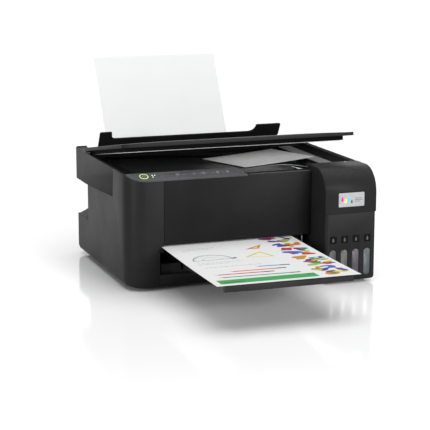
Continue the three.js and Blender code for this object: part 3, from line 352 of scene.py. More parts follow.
def zinc_steel(name, colour=(0.5, 0.51, 0.53), roughness=0.34, along=(1, 40, 40)):
    """Rolled zinc-plated steel: fine streaks along one axis over cloudy crystals."""
    made, tree, shader = new_finish(name, colour, roughness, Metallic=1.0)
    place = put(tree, "ShaderNodeTexCoord")
    stretch = put(tree, "ShaderNodeMapping", {
        "Vector": place.outputs["Object"], "Scale": tuple(60 * part for part in along),
    })
    streak = put(tree, "ShaderNodeTexNoise", {
        "Vector": stretch.outputs["Vector"], "Scale": 1.0, "Detail": 4.0,
    })
    crystals = put(tree, "ShaderNodeTexVoronoi", {
        "Vector": place.outputs["Object"], "Scale": 320.0,
    })
    cloudy = blended(tree, crystals.outputs["Distance"], shade(colour, 0.82), shade(colour, 1.15))
    tree.links.new(cloudy, shader.inputs["Base Color"])
    rough = put(tree, "ShaderNodeMapRange", {
        "Value": streak.outputs["Fac"], "To Min": roughness - 0.1, "To Max": roughness + 0.12,
    })
    tree.links.new(rough.outputs["Result"], shader.inputs["Roughness"])
    bump = put(tree, "ShaderNodeBump", {
        "Height": streak.outputs["Fac"], "Strength": 0.15, "Distance": 0.00005,
    })
    tree.links.new(bump.outputs["Normal"], shader.inputs["Normal"])
    return made


plated_steel = zinc_steel("plated_steel")
inner_grey = moulded_plastic("inner_grey", (0.014, 0.014, 0.0145), 0.55)
inner_black = moulded_plastic("inner_black", (0.006, 0.006, 0.0063), 0.55, worn=0.3)
roller_rubber = moulded_plastic(
    "roller_rubber", (0.014, 0.014, 0.014), 0.78, grain=1300.0, depth=0.6, worn=0.1, gloss=0.25,
)
belt_rubber = moulded_plastic(
    "belt_rubber", (0.015, 0.015, 0.015), 0.7, grain=900.0, depth=0.8, worn=0.1, gloss=0.3,
)
natural_acetal = moulded_plastic(
    "natural_acetal", (0.66, 0.64, 0.58), 0.38, grain=1200.0, depth=0.1, worn=0.1, gloss=0.5,
)
socket_black = moulded_plastic("socket_black", (0.010, 0.010, 0.010), 0.28, depth=0.1, gloss=0.5)

for node in ("chassis_frame", "carriage_rail"):
    softened(node, plated_steel, 0.2 * mm)
for node in ("carriage_motor", "feed_motor"):
    softened(node, plated_steel, 0.5 * mm)
for node in ("platen", "carriage", "capping_station", "power_supply"):
    softened(node, inner_grey, 0.3 * mm)
for node in ("feed_roller", "exit_roller", "pickup_roller"):
    softened(node, roller_rubber, 0.3 * mm)
for node in ("motor_pulley", "feed_gear", "feed_pinion"):
    softened(node, natural_acetal, 0.12 * mm)
softened("timing_belt", belt_rubber, 0.15 * mm)
softened("power_inlet", socket_black, 0.25 * mm)
softened("usb_port", plated_steel, 0.2 * mm)

board_green, board_tree, board_shader = new_finish(
    "board_green", (0.012, 0.085, 0.035), 0.34, Specular_IOR_Level=0.5,
)
board_place = put(board_tree, "ShaderNodeTexCoord")
board_cells = put(board_tree, "ShaderNodeTexVoronoi", {
    "Vector": board_place.outputs["Object"], "Scale": 260.0,
}, distance="CHEBYCHEV", feature="F1")
board_tracks = put(board_tree, "ShaderNodeMapRange", {
    "Value": board_cells.outputs["Distance"], "From Min": 0.3, "From Max": 0.34,
})
board_colour = blended(
    board_tree, board_tracks.outputs["Result"], (0.012, 0.085, 0.035), (0.02, 0.15, 0.06),
)
board_tree.links.new(board_colour, board_shader.inputs["Base Color"])
board_bump = put(board_tree, "ShaderNodeBump", {
    "Height": board_tracks.outputs["Result"], "Strength": 0.3, "Distance": 0.00004,
})
board_tree.links.new(board_bump.outputs["Normal"], board_shader.inputs["Normal"])
softened("main_board", board_green, 0.1 * mm)

# ---- output tray ----
# Two flat ABS slides run out one after the other through a guide in the base; the outer one ends
# in a turned-up lip that holds the finished sheets.
guide_grey = moulded_plastic("guide_grey", (0.018, 0.018, 0.0185), 0.42)
softened("tray_guide", guide_grey, 0.6 * mm)
softened("output_tray", guide_grey, 0.35 * mm)
softened("tray_extension", guide_grey, 0.4 * mm)

# ---- rear paper feeder ----
# The feeder is a leaning black chute behind the lid. Two sliding edge guides close on the sheets,
# a flat support slides up behind them and a long hinged guard with two ears keeps things out.
softened("rear_feeder", inner_grey, 0.4 * mm)
softened("paper_support", guide_grey, 0.5 * mm)
softened("edge_guide_left", guide_grey, 0.35 * mm)
softened("edge_guide_right", guide_grey, 0.35 * mm)
guard_black = moulded_plastic("guard_black", (0.006, 0.006, 0.0063), 0.5)
softened("feeder_guard", guard_black, 0.4 * mm)

# ---- outer covers ----
# Charcoal ABS mouldings with a fine spark-eroded skin, screwed to the base pan from below; the
# left one wraps the rounded front corner and carries the moulded hand recess.
softened("left_cover", casing_black, 0.8 * mm)
softened("right_cover", casing_black, 0.6 * mm)
softened("rear_cover", casing_black, 0.5 * mm)


def inlay(name, outlines, at, thickness, finish):
    """Thin closed plates from outlines of (a, b) points; at(a, b, h) gives the place in metres."""
    shape = bmesh.new()
    for points in outlines:
        low = [shape.verts.new(at(a, b, 0.0)) for a, b in points]
        high = [shape.verts.new(at(a, b, thickness)) for a, b in points]
        shape.faces.new(low)
        shape.faces.new(reversed(high))
        for i in range(len(points)):
            k = (i + 1) % len(points)
            shape.faces.new((low[i], high[i], high[k], low[k]))
    return object_from(name, shape, finish)


def disc(a, b, radius, steps=20):
    turns = [2 * math.pi * i / steps for i in range(steps)]
    return [(a + radius * math.cos(t), b + radius * math.sin(t)) for t in turns]


def band(a, b, inner, outer, start, end, steps=14):
    """Part of a flat ring, from start to end in degrees."""
    turns = [math.radians(start + (end - start) * i / steps) for i in range(steps + 1)]
    out = [(a + outer * math.cos(t), b + outer * math.sin(t)) for t in turns]
    back = [(a + inner * math.cos(t), b + inner * math.sin(t)) for t in reversed(turns)]
    return out + back


def ring(a, b, inner, outer):
    return [band(a, b, inner, outer, 0, 180), band(a, b, inner, outer, 180, 360)]


def rounded_plate(a0, b0, a1, b1, radius, steps=5):
    corners = [(a1 - radius, b1 - radius, 0), (a0 + radius, b1 - radius, 90),
               (a0 + radius, b0 + radius, 180), (a1 - radius, b0 + radius, 270)]
    return [
        (a + radius * math.cos(math.radians(turn + 90 * i / steps)),
         b + radius * math.sin(math.radians(turn + 90 * i / steps)))
        for a, b, turn in corners
        for i in range(steps + 1)
    ]


def side_faces(shape, row, after):
    """Closes the side between two matching closed rows of points."""
    for i in range(len(row)):
        k = (i + 1) % len(row)
        shape.faces.new((row[i], row[k], after[k], after[i]))


rear_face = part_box("rear_cover")[1].y
screw_steel = zinc_steel("screw_steel", (0.12, 0.12, 0.125), 0.4, (20, 20, 20))


def screw_head(name, x, z):
    """A domed cross-head screw in the rear cover."""
    shape = bmesh.new()
    rings = [(3.0, -0.4), (3.0, 0.5), (2.5, 0.95), (1.4, 1.15)]
    steps = 20
    rows = []
    for radius, out in rings:
        rows.append([shape.verts.new((
            x + radius * mm * math.cos(2 * math.pi * i / steps),
            rear_face + out * mm,
            z + radius * mm * math.sin(2 * math.pi * i / steps),
        )) for i in range(steps)])
    middle = shape.verts.new((x, rear_face + 0.55 * mm, z))
    for row, after in zip(rows, rows[1:]):
        side_faces(shape, row, after)
    for i in range(steps):
        shape.faces.new((rows[-1][i], rows[-1][(i + 1) % steps], middle))
    shape.faces.new(rows[0])
    head = object_from(name, shape, screw_steel)
    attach(head, "root")


for number, (x, z) in enumerate(((-0.150, 0.052), (0.170, 0.052), (-0.02, 0.150), (0.170, 0.150))):
    screw_head(f"rear_screw_{number + 1}", x, z)

plate_silver, plate_tree, plate_shader = new_finish(
    "plate_silver", (0.34, 0.34, 0.35), 0.36, Metallic=0.4,
)
plate_texture = placed(plate_tree, spark_texture, Grain=3000.0, Patches=40.0)
plate_colour = blended(
    plate_tree, plate_texture.outputs["Patch"], (0.30, 0.30, 0.31), (0.38, 0.38, 0.39),
)
plate_tree.links.new(plate_colour, plate_shader.inputs["Base Color"])
rating_plate = inlay(
    "rating_plate", [rounded_plate(-0.045, 0.026, 0.015, 0.052, 0.002)],
    lambda a, b, h: (a, rear_face + h - 0.05 * mm, b), 0.3 * mm, plate_silver,
)
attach(rating_plate, "root")

# ---- ink tank unit ----
# Four translucent bottles stand in a charcoal housing at the front right, seen through rounded
# windows; each is filled through a neck on top that a hinged stopper closes.
softened("tank_housing", casing_black, 0.8 * mm)
softened("tank_frame", inner_black, 0.4 * mm)
ink_tints = {
    "black": ((0.030, 0.031, 0.030), (0.01, 0.01, 0.012)),
    "yellow": ((0.054, 0.052, 0.042), (0.65, 0.50, 0.05)),
    "magenta": ((0.052, 0.043, 0.054), (0.45, 0.03, 0.22)),
    "cyan": ((0.036, 0.050, 0.054), (0.02, 0.30, 0.45)),
}
fill_share, hollow = 0.72, 0.6 * mm
side_room, front_room, back_room, floor_room = 2.1 * mm, 5.2 * mm, 2.2 * mm, 2.6 * mm
tile_low, tile_height, tile_half = 63.2 * mm, 11.4 * mm, 5.6 * mm
mark_grey = moulded_plastic("mark_grey", (0.075, 0.075, 0.078), 0.5, worn=0.1, dusty=0.0)
tile_black = moulded_plastic("tile_black", (0.002, 0.002, 0.0023), 0.5, depth=0.1, worn=0.0)
tank_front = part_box("tank_housing")[0].y


def on_tank_front(a, b, h):
    return (a, tank_front - h + 0.1 * mm, b)


def drop_outline(a, b, size, steps=16):
    """A drop: round below, drawn to a point above."""
    points = []
    for i in range(steps):
        turn = 2 * math.pi * i / steps
        swell = math.sin(turn / 2) ** 1.2
        points.append((a + size * 0.62 * math.sin(turn) * swell, b + size * math.cos(turn)))
    return points


for colour, (tint, ink) in ink_tints.items():
    bottle, bottle_tree, bottle_shader = new_finish(
        f"bottle_{colour}", tint, 0.3, Transmission_Weight=0.25, Specular_IOR_Level=0.5,
    )
    bottle_texture = placed(bottle_tree, spark_texture, Grain=1500.0, Patches=60.0)
    bottle_colour = blended(
        bottle_tree, bottle_texture.outputs["Patch"], shade(tint, 0.9), shade(tint, 1.15),
    )
    bottle_tree.links.new(bottle_colour, bottle_shader.inputs["Base Color"])
    bottle_bump = put(bottle_tree, "ShaderNodeBump", {
        "Height": bottle_texture.outputs["Height"], "Strength": 0.2, "Distance": 0.00005,
    })
    bottle_tree.links.new(bottle_bump.outputs["Normal"], bottle_shader.inputs["Normal"])
    softened(f"ink_tank_{colour}", bottle, 0.4 * mm)

    stopper = moulded_plastic(f"stopper_{colour}", shade(tint, 0.35), 0.42, worn=0.3)
    softened(f"tank_cap_{colour}", stopper, 0.4 * mm)

    ink_dye, ink_tree, ink_shader = new_finish(
        f"ink_{colour}", ink, 0.08, Specular_IOR_Level=0.5,
    )
    ink_swirl = put(ink_tree, "ShaderNodeTexNoise", {"Scale": 60.0, "Detail": 2.0})
    ink_colour = blended(ink_tree, ink_swirl.outputs["Fac"], shade(ink, 0.8), shade(ink, 1.1))
    ink_tree.links.new(ink_colour, ink_shader.inputs["Base Color"])
    low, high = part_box(f"ink_tank_{colour}")
    level = low.z + (high.z - low.z) * fill_share
    ink_shape = bmesh.new()
    bottom = rounded_plate(
        low.x + side_room, low.y + front_room, high.x - side_room, high.y - back_room, 1.5 * mm,
    )
    rows = [
        [ink_shape.verts.new((a, b, z)) for a, b in bottom]
        for z in (low.z + floor_room, level)
    ]
    side_faces(ink_shape, rows[0], rows[1])
    ink_shape.faces.new(rows[0])
    centre = Vector(((low.x + high.x) / 2, (low.y + high.y) / 2, level - hollow))
    inner = [ink_shape.verts.new(
        Vector((a, b, level - hollow)).lerp(centre, 0.25)) for a, b in bottom]
    side_faces(ink_shape, rows[1], inner)
    ink_shape.faces.new(inner)
    ink_body = object_from(f"ink_{colour}_level", ink_shape, ink_dye)
    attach(ink_body, "root")

    cap_low, cap_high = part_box(f"tank_cap_{colour}")
    middle = (cap_low.x + cap_high.x) / 2
    tile = inlay(
        f"label_tile_{colour}",
        [rounded_plate(middle - tile_half, tile_low, middle + tile_half, tile_low + tile_height,
                       1.4 * mm)],
        on_tank_front, 0.45 * mm, tile_black,
    )
    mark = inlay(
        f"label_drop_{colour}",
        [drop_outline(middle, tile_low + tile_height / 2, 3.4 * mm)],
        lambda a, b, h: on_tank_front(a, b, h + 0.44 * mm), 0.08 * mm, mark_grey,
    )
    for made in (tile, mark):
        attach(made, "root")

# ---- scanner unit ----
# A shallow black tub holds the glass in a frame; below it the scan bar rides on a steel rail. The
# whole unit lifts on two rear hinges, with the front fascia and the control strip.
softened("scanner_tub", casing_black, 0.45 * mm)
softened("scanner_frame", inner_black, 0.3 * mm)
softened("scan_rail", plated_steel, 0.3 * mm)
softened("scan_bar", inner_black, 0.5 * mm)

bed_glass, glass_tree, glass_shader = new_finish(
    "bed_glass", (0.012, 0.014, 0.014), 0.03, Transmission_Weight=0.45, IOR=1.45,
)
glass_place = put(glass_tree, "ShaderNodeTexCoord")
glass_smudge = put(glass_tree, "ShaderNodeTexNoise", {
    "Vector": glass_place.outputs["Object"], "Scale": 22.0, "Detail": 4.0, "Distortion": 0.8,
})
glass_rough = put(glass_tree, "ShaderNodeMapRange", {
    "Value": glass_smudge.outputs["Fac"], "From Min": 0.45, "From Max": 0.75,
    "To Min": 0.02, "To Max": 0.09,
})
glass_tree.links.new(glass_rough.outputs["Result"], glass_shader.inputs["Roughness"])
softened("scanner_glass", bed_glass, 0.3 * mm)

frame_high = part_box("scanner_frame")[1]
glass_low, glass_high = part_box("scanner_glass")
scale_grey = moulded_plastic("scale_grey", (0.34, 0.34, 0.345), 0.45, worn=0.2, dusty=0.0)
scale_dark = moulded_plastic("scale_dark", (0.05, 0.05, 0.05), 0.45, worn=0.0, dusty=0.0)


def on_bed(a, b, h):
    return (a, b, frame_high.z + h)


bed_scale = inlay(
    "bed_scale",
    [rounded_plate(glass_high.x + 2.2 * mm, glass_low.y, frame_high.x - 1.2 * mm, glass_high.y,
                   1 * mm)],
    on_bed, 0.3 * mm, scale_grey,
)
scale_marks = []
for i in range(20):
    y = glass_low.y + (i + 0.5) * (glass_high.y - glass_low.y) / 20
    reach = 5 * mm if i % 5 == 0 else 2.6 * mm
    scale_marks.append(rounded_plate(
        glass_high.x + 3 * mm, y, glass_high.x + 3 * mm + reach, y + 0.4 * mm, 0.1 * mm, 2,
    ))
bed_marks = inlay(
    "bed_scale_marks", scale_marks, lambda a, b, h: on_bed(a, b, h + 0.29 * mm), 0.08 * mm,
    scale_dark,
)
for made in (bed_scale, bed_marks):
    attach(made, "scanner")

# ---- front fascia ----
# A flat charcoal panel screwed to the scanner tub. Its skin has a field of fine slanting dots that
# fades out to the left and downwards; a lighter ledge runs along its top.
dot_field, dots_in, dots_out = effect_group("dot_field", {"Pitch": 0.0026}, ("Dot",))
dots_place = put(dot_field, "ShaderNodeTexCoord")
dots_split = put(dot_field, "ShaderNodeSeparateXYZ", {0: dots_place.outputs["Object"]})


def dot_row(sign):
    """Distance from the middle of a slanting row, as a share of the pitch."""
    across = put(dot_field, "ShaderNodeMath", {
        0: dots_split.outputs["X"], 1: sign, 2: dots_split.outputs["Z"],
    }, operation="MULTIPLY_ADD")
    count = put(dot_field, "ShaderNodeMath", {
        0: across.outputs[0], 1: dots_in.outputs["Pitch"],
    }, operation="DIVIDE")
    share = put(dot_field, "ShaderNodeMath", {0: count.outputs[0]}, operation="FRACT")
    offset = put(dot_field, "ShaderNodeMath", {0: share.outputs[0], 1: 0.5}, operation="SUBTRACT")
    square = put(dot_field, "ShaderNodeMath", {0: offset.outputs[0], 1: 2.0}, operation="POWER")
    return square.outputs[0]


dots_sum = put(dot_field, "ShaderNodeMath", {0: dot_row(1.0), 1: dot_row(-1.0)}, operation="ADD")
dots_round = put(dot_field, "ShaderNodeMapRange", {
    "Value": dots_sum.outputs[0], "From Min": 0.09, "From Max": 0.05,
})
dot_field.links.new(dots_round.outputs["Result"], dots_out.inputs["Dot"])

fascia_low, fascia_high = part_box("front_fascia")
fascia_black = moulded_plastic("fascia_black", (0.0105, 0.0105, 0.011), 0.42)
fascia_tree = fascia_black.node_tree
fascia_shader = fascia_tree.nodes["Principled BSDF"]
fascia_dots = placed(fascia_tree, dot_field, Pitch=0.0026)
fascia_place = put(fascia_tree, "ShaderNodeTexCoord")
fascia_split = put(fascia_tree, "ShaderNodeSeparateXYZ", {0: fascia_place.outputs["Object"]})
fade_right = put(fascia_tree, "ShaderNodeMapRange", {
    "Value": fascia_split.outputs["X"], "From Min": -0.06, "From Max": 0.06,
})
fade_up = put(fascia_tree, "ShaderNodeMapRange", {
    "Value": fascia_split.outputs["Z"], "From Min": 0.09, "From Max": 0.15,
})
fade_both = put(fascia_tree, "ShaderNodeMath", {
    0: fade_right.outputs["Result"], 1: fade_up.outputs["Result"],
}, operation="MULTIPLY")
dots_shown = put(fascia_tree, "ShaderNodeMath", {
    0: fade_both.outputs[0], 1: fascia_dots.outputs["Dot"],
}, operation="MULTIPLY")
fascia_base = fascia_shader.inputs["Base Color"].links[0].from_socket
fascia_tree.links.new(
    blended(fascia_tree, dots_shown.outputs[0], fascia_base, (0.032, 0.032, 0.033)),
    fascia_shader.inputs["Base Color"],
)
softened("front_fascia", fascia_black, 0.8 * mm)

strip_grey = moulded_plastic("strip_grey", (0.050, 0.050, 0.052), 0.42, grain=2800.0)
ledge_left = 4 * mm
fascia_ledge = inlay(
    "fascia_ledge",
    [rounded_plate(ledge_left, fascia_low.y + 0.4 * mm, fascia_high.x - 1 * mm,
                   fascia_low.y + 3.4 * mm, 0.4 * mm, 3)],
    lambda a, b, h: (a, b, fascia_high.z - 0.2 * mm + h), 0.6 * mm, strip_grey,
)
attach(fascia_ledge, "scanner")

# ---- control strip and keys ----
# A satin grey strip caps the column and the fascia at a slope. Six round keys press through it;
# the power key has a lit ring, and small lamps sit beside it.
softened("control_panel", strip_grey, 0.35 * mm)
key_grey = moulded_plastic("key_grey", (0.062, 0.062, 0.065), 0.38, grain=2800.0)
icon_white = moulded_plastic("icon_white", (0.22, 0.22, 0.225), 0.5, worn=0.0, dusty=0.0)
lamp_white, lamp_tree, lamp_shader = new_finish(
    "lamp_white", (0.7, 0.72, 0.7), 0.3, Emission_Strength=0.8,
)
lamp_spot = put(lamp_tree, "ShaderNodeTexNoise", {"Scale": 900.0})
lamp_tree.links.new(
    blended(lamp_tree, lamp_spot.outputs["Fac"], (0.65, 0.7, 0.66), (0.9, 0.95, 0.9)),
    lamp_shader.inputs["Emission Color"],
)
ring_glow, glow_tree, glow_shader = new_finish(
    "ring_glow", (0.35, 0.45, 0.12), 0.35, Emission_Strength=0.55,
)
glow_spot = put(glow_tree, "ShaderNodeTexNoise", {"Scale": 300.0, "Detail": 2.0})
glow_tree.links.new(
    blended(glow_tree, glow_spot.outputs["Fac"], (0.45, 0.62, 0.10), (0.72, 0.85, 0.25)),
    glow_shader.inputs["Emission Color"],
)
strip_slope = math.atan2(8, 19.5)
strip_up = Vector((0, -math.sin(strip_slope), math.cos(strip_slope)))
strip_back = Vector((0, math.cos(strip_slope), math.sin(strip_slope)))


def on_key(key):
    """Place function on the top of a key: a to the right, b up the slope."""
    low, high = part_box(key)
    top = (low + high) / 2 + strip_up * 1.2 * mm

    def at(a, b, h):
        return top + Vector((a, 0, 0)) + strip_back * b + strip_up * (h - 0.02 * mm)
    return at


key_icons = {
    "wifi_button": [
        band(0, -1.6 * mm, r * mm, (r + 0.45) * mm, 45, 135, 8) for r in (1.2, 2.3, 3.4)
    ],
    "info_button": [disc(0, 1.5 * mm, 0.4 * mm, 10),
                    rounded_plate(-0.3 * mm, -2 * mm, 0.3 * mm, 0.6 * mm, 0.1 * mm, 2)],
    "mono_copy_button": [band(0, 0, 1.6 * mm, 2.1 * mm, 20, 340, 16)],
    "colour_copy_button": [band(0, 0, 1.6 * mm, 2.1 * mm, 20, 340, 16), disc(0, 0, 0.8 * mm, 12)],
    "stop_button": [[(-1.6 * mm, -1.4 * mm), (1.6 * mm, -1.4 * mm), (0, 1.6 * mm)]],
    "power_button": [
        band(0, 0, 1.9 * mm, 2.5 * mm, 120, 420, 16),
        rounded_plate(-0.3 * mm, 0.4 * mm, 0.3 * mm, 3 * mm, 0.1 * mm, 2),
    ],
}
for key, outlines in key_icons.items():
    softened(key, key_grey, 0.25 * mm)
    icon = inlay(f"{key}_icon", outlines, on_key(key), 0.06 * mm, icon_white)
    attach(icon, body_of_node[key])
power_ring = inlay(
    "power_ring", ring(0, 0, 5.7 * mm, 6.8 * mm), on_key("power_button"), 0.25 * mm, ring_glow,
)
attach(power_ring, body_of_node["power_button"])
lamps = inlay(
    "status_lamps",
    [disc(x * mm, b * mm, 0.9 * mm, 12) for x, b in ((13.5, 2.5), (13.5, -2.0), (17.5, 2.5))],
    lambda a, b, h: on_key("power_button")(a, b, h - 0.4 * mm), 0.12 * mm, lamp_white,
)
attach(lamps, "scanner")
thin_marks = inlay(
    "strip_marks",
    [rounded_plate(x * mm, -1.2 * mm, (x + 3.2) * mm, -0.7 * mm, 0.1 * mm, 2)
     for x in (26, 60, 86, 106, 122)],
    lambda a, b, h: on_key("power_button")(a, b, h - 0.42 * mm), 0.08 * mm, icon_white,
)
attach(thin_marks, "scanner")

# ---- lid ----
# A thin charcoal cover with a slightly crowned panel on top and a white foam sheet stuck under it;
# it stands ajar on two small hinges at the rear of the scanner.
lid_black = moulded_plastic("lid_black", (0.013, 0.013, 0.0135), 0.42)
lid_joint = next(j for j in frame["joints"] if j["name"] == "lid_hinge")
lid_pivot = Vector(lid_joint["pos_m"])
lid_angle = math.radians(9.8)
lid_along = Vector((0, -math.cos(lid_angle), math.sin(lid_angle)))
lid_up = Vector((0, math.sin(lid_angle), math.cos(lid_angle)))
lid_shell = softened("lid_cover", lid_black, 0.7 * mm, 3)
# Painted shade: the lid shell's faces more than 1.8 mm below its top skin take a near-black, duller copy of the
# lid plastic, darkening its underside and lower frame.
lid_underside_painted_shade = moulded_plastic(
    "lid_underside_painted_shade", (0.003, 0.003, 0.0032), 0.7, worn=0.0, dusty=0.0, gloss=0.02,
)
lid_shell.data.materials.append(lid_underside_painted_shade)
under_skin = -1.8 * mm
for face in lid_shell.data.polygons:
    if (face.center - lid_pivot).dot(lid_up) < under_skin:
        face.material_index = 1
foam_white, foam_tree, foam_shader = new_finish("foam_white", (0.78, 0.78, 0.77), 0.7)
foam_texture = placed(foam_tree, spark_texture, Grain=1600.0, Patches=30.0)
foam_tree.links.new(
    blended(foam_tree, foam_texture.outputs["Patch"], (0.74, 0.74, 0.73), (0.82, 0.82, 0.81)),
    foam_shader.inputs["Base Color"],
)
foam_bump = put(foam_tree, "ShaderNodeBump", {
    "Height": foam_texture.outputs["Height"], "Strength": 0.4, "Distance": 0.0001,
})
foam_tree.links.new(foam_bump.outputs["Normal"], foam_shader.inputs["Normal"])
lid_foam = softened("lid_mat", foam_white, 1.5 * mm, 3)


def rim_of(layer):
    """The outer points of a grid of points, in order round its edge."""
    return (
        layer[0][:-1] + [line[-1] for line in layer[:-1]]
        + list(reversed(layer[-1][1:])) + [line[0] for line in reversed(layer[1:])]
    )


def closed_slab(shape, layers):
    """Faces for two matching grids of points and for the narrow edge between them."""
    for layer in layers:
        for line, after in zip(layer, layer[1:]):
            for i in range(len(line) - 1):
                shape.faces.new((line[i], line[i + 1], after[i + 1], after[i]))
    side_faces(shape, rim_of(layers[0]), rim_of(layers[1]))


lid_low, lid_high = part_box("lid_cover")
lid_top = 3.6 * mm
lid_reach = (lid_low - lid_pivot).dot(Vector((0, -1, 0))) / math.cos(lid_angle)
crown_height = 2.0 * mm
crown = bmesh.new()
columns, rows = 40, 24
margin = 5 * mm
hinge_room = 8 * mm
panel_sunk, panel_body = 0.3 * mm, 0.35 * mm
grid = []
for side in (1, 0):
    layer = []
    for j in range(rows + 1):
        v = 2 * j / rows - 1
        line = []
        for i in range(columns + 1):
            u = 2 * i / columns - 1
            swell = (1 - abs(u) ** 6) * (1 - abs(v) ** 6)
            rise = lid_top - panel_sunk + side * (panel_body + crown_height * swell)
            along = hinge_room + (lid_reach - hinge_room - margin) * j / rows
            place = lid_pivot + lid_along * along + lid_up * rise
            place.x = (lid_low.x + lid_high.x) / 2 + u * ((lid_high.x - lid_low.x) / 2 - margin)
            line.append(crown.verts.new(place))
        layer.append(line)
    grid.append(layer)
closed_slab(crown, grid)
lid_crown = object_from("lid_crown", crown, lid_black)
lid_crown.data.shade_smooth()
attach(lid_crown, "lid")

# ---- tank cover ----
# The hood over the bottles swings up on two pins. A silvery badge plate with four printed ink
# drops is stuck to its front, and a small pale buffer stands on its rear edge.
softened("tank_cover", casing_black, 0.9 * mm)
badge_silver = moulded_plastic("badge_silver", (0.28, 0.28, 0.29), 0.3, depth=0.05, worn=0.2,
                               dusty=0.0, gloss=0.3)
badge = inlay(
    "badge_plate", [rounded_plate(0.1253, 0.1189, 0.1672, 0.1401, 0.0012)],
    on_tank_front, 0.7 * mm, badge_silver,
)


def on_badge(a, b, h):
    return on_tank_front(a, b, h + 0.69 * mm)


badge_dyes = {
    "magenta": ((0.60, 0.02, 0.28), 0.1308, 0.1312, 4.4),
    "yellow": ((0.80, 0.62, 0.05), 0.1362, 0.1282, 4.0),
    "cyan": ((0.05, 0.42, 0.65), 0.1416, 0.1306, 4.2),
    "black": ((0.03, 0.03, 0.035), 0.1466, 0.1268, 3.0),
}
badge_pieces = [badge]
for dye, (colour, x, z, size) in badge_dyes.items():
    print_dye = moulded_plastic(f"badge_{dye}", colour, 0.35, depth=0.05, worn=0.0, dusty=0.0)
    badge_pieces.append(inlay(
        f"badge_drop_{dye}", [drop_outline(x, z, size * mm)], on_badge, 0.06 * mm, print_dye,
    ))
badge_pieces.append(inlay(
    "badge_lines",
    [rounded_plate(0.1515, z, 0.1515 + length, z + 0.0008, 0.0002, 2)
     for z, length in ((0.1310, 0.0110), (0.1286, 0.0128), (0.1262, 0.0086))],
    on_badge, 0.06 * mm, mark_grey,
))
for made in badge_pieces:
    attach(made, "tank_cover")

cover_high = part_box("tank_cover")[1]


def domed_stud(name, place, radius, height, finish, body):
    """A small domed buffer standing on a surface."""
    shape = bmesh.new()
    steps = 16
    rows = []
    for share in (0, 0.5, 0.8, 0.95):
        reach = radius * math.sqrt(1 - share * share)
        rows.append([shape.verts.new(place + Vector((
            reach * math.cos(2 * math.pi * i / steps),
            reach * math.sin(2 * math.pi * i / steps),
            height * share,
        ))) for i in range(steps)])
    peak = shape.verts.new(place + Vector((0, 0, height)))
    for row, after in zip(rows, rows[1:]):
        side_faces(shape, row, after)
    for i in range(steps):
        shape.faces.new((rows[-1][i], rows[-1][(i + 1) % steps], peak))
    shape.faces.new(rows[0])
    stud = object_from(name, shape, finish)
    stud.data.shade_smooth()
    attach(stud, body)


domed_stud(
    "cover_buffer", Vector((0.1648, cover_high.y - 10 * mm, cover_high.z - 0.1 * mm)),
    1.8 * mm, 0.9 * mm, scale_grey, "tank_cover",
)

# ---- paper ----
# Blank A4 sheets stand in the feeder between the edge guides, a printed A4 page lies on the tray
# with its rear end still in the exit rollers, and a small blank glossy sheet lies on the glass.


def paper_finish(name, colour, roughness, fibres=900.0):
    made, tree, shader = new_finish(name, colour, roughness, Specular_IOR_Level=0.3)
    place = put(tree, "ShaderNodeTexCoord")
    cloud = put(tree, "ShaderNodeTexNoise", {
        "Vector": place.outputs["Object"], "Scale": 30.0, "Detail": 4.0,
    })
    fibre = put(tree, "ShaderNodeTexNoise", {
        "Vector": place.outputs["Object"], "Scale": fibres, "Detail": 3.0, "Distortion": 1.5,
    })
    tree.links.new(
        blended(tree, cloud.outputs["Fac"], shade(colour, 0.975), shade(colour, 1.02)),
        shader.inputs["Base Color"],
    )
    bump = put(tree, "ShaderNodeBump", {
        "Height": fibre.outputs["Fac"], "Strength": 0.25, "Distance": 0.00004,
    })
    tree.links.new(bump.outputs["Normal"], shader.inputs["Normal"])
    return made


office_paper = paper_finish("office_paper", (0.50, 0.502, 0.505), 0.75)
# Painted shade: the printed page takes a slightly darker copy of the office paper, darkening the flat page on the
# tray.
page_paper_painted_shade = paper_finish("page_paper_painted_shade", (0.48, 0.481, 0.481), 0.75)
photo_paper = paper_finish("photo_paper", (0.92, 0.92, 0.92), 0.32, 500.0)


def paper_sheet(name, width, length, at, thickness, finish, columns=8, rows=30):
    """A closed thin sheet; at(a, b, h) takes a across, b along and h above its under side."""
    shape = bmesh.new()
    layers = []
    for h in (0.0, thickness):
        layers.append([[
            shape.verts.new(at(width * i / columns, length * j / rows, h))
            for i in range(columns + 1)] for j in range(rows + 1)])
    closed_slab(shape, layers)
    return object_from(name, shape, finish)


a4_width, a4_length = 210 * mm, 297 * mm
guide_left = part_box("edge_guide_left")
guide_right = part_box("edge_guide_right")
paper_middle = (guide_left[0].x + guide_right[1].x) / 2
lean = math.radians(27)
lean_up = Vector((0, math.sin(lean), math.cos(lean)))
lean_out = Vector((0, -math.cos(lean), math.sin(lean)))
support_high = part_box("paper_support")[1]
support_top = Vector((paper_middle, support_high.y, support_high.z))
sheet_out = 6.15 * mm  # in front of the support, just clear of the pickup roller
sheet_below = 287 * mm
sheet_plane = support_top + lean_out * sheet_out
sheet_bottom = sheet_plane - lean_up * sheet_below


def feeder_sheet(name, offset, slide):
    def at(a, b, h):
        curl = 0.9 * mm * (max(0, b / a4_length - 0.55) / 0.45) ** 2
        return (
            sheet_bottom + lean_up * (b + slide) + lean_out * (offset + h - curl)
            + Vector((a - a4_width / 2, 0, 0))
        )
    sheet = paper_sheet(name, a4_width, a4_length, at, 0.12 * mm, office_paper)
    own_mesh(sheet)
    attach(sheet, "root")


feeder_sheet("blank_sheet_front", 0.30 * mm, 0.0)
feeder_sheet("blank_sheet_rear", 0.0, 0.6 * mm)

roller_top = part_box("exit_roller")[1].z
lip_low, lip_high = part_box("tray_extension")
page_front = lip_low.y - 0.2 * mm
page_low = max(roller_top, lip_high.z) + 0.25 * mm
page_left = paper_middle - a4_width / 2 - 0.5 * mm
page_turn = math.radians(-0.7)


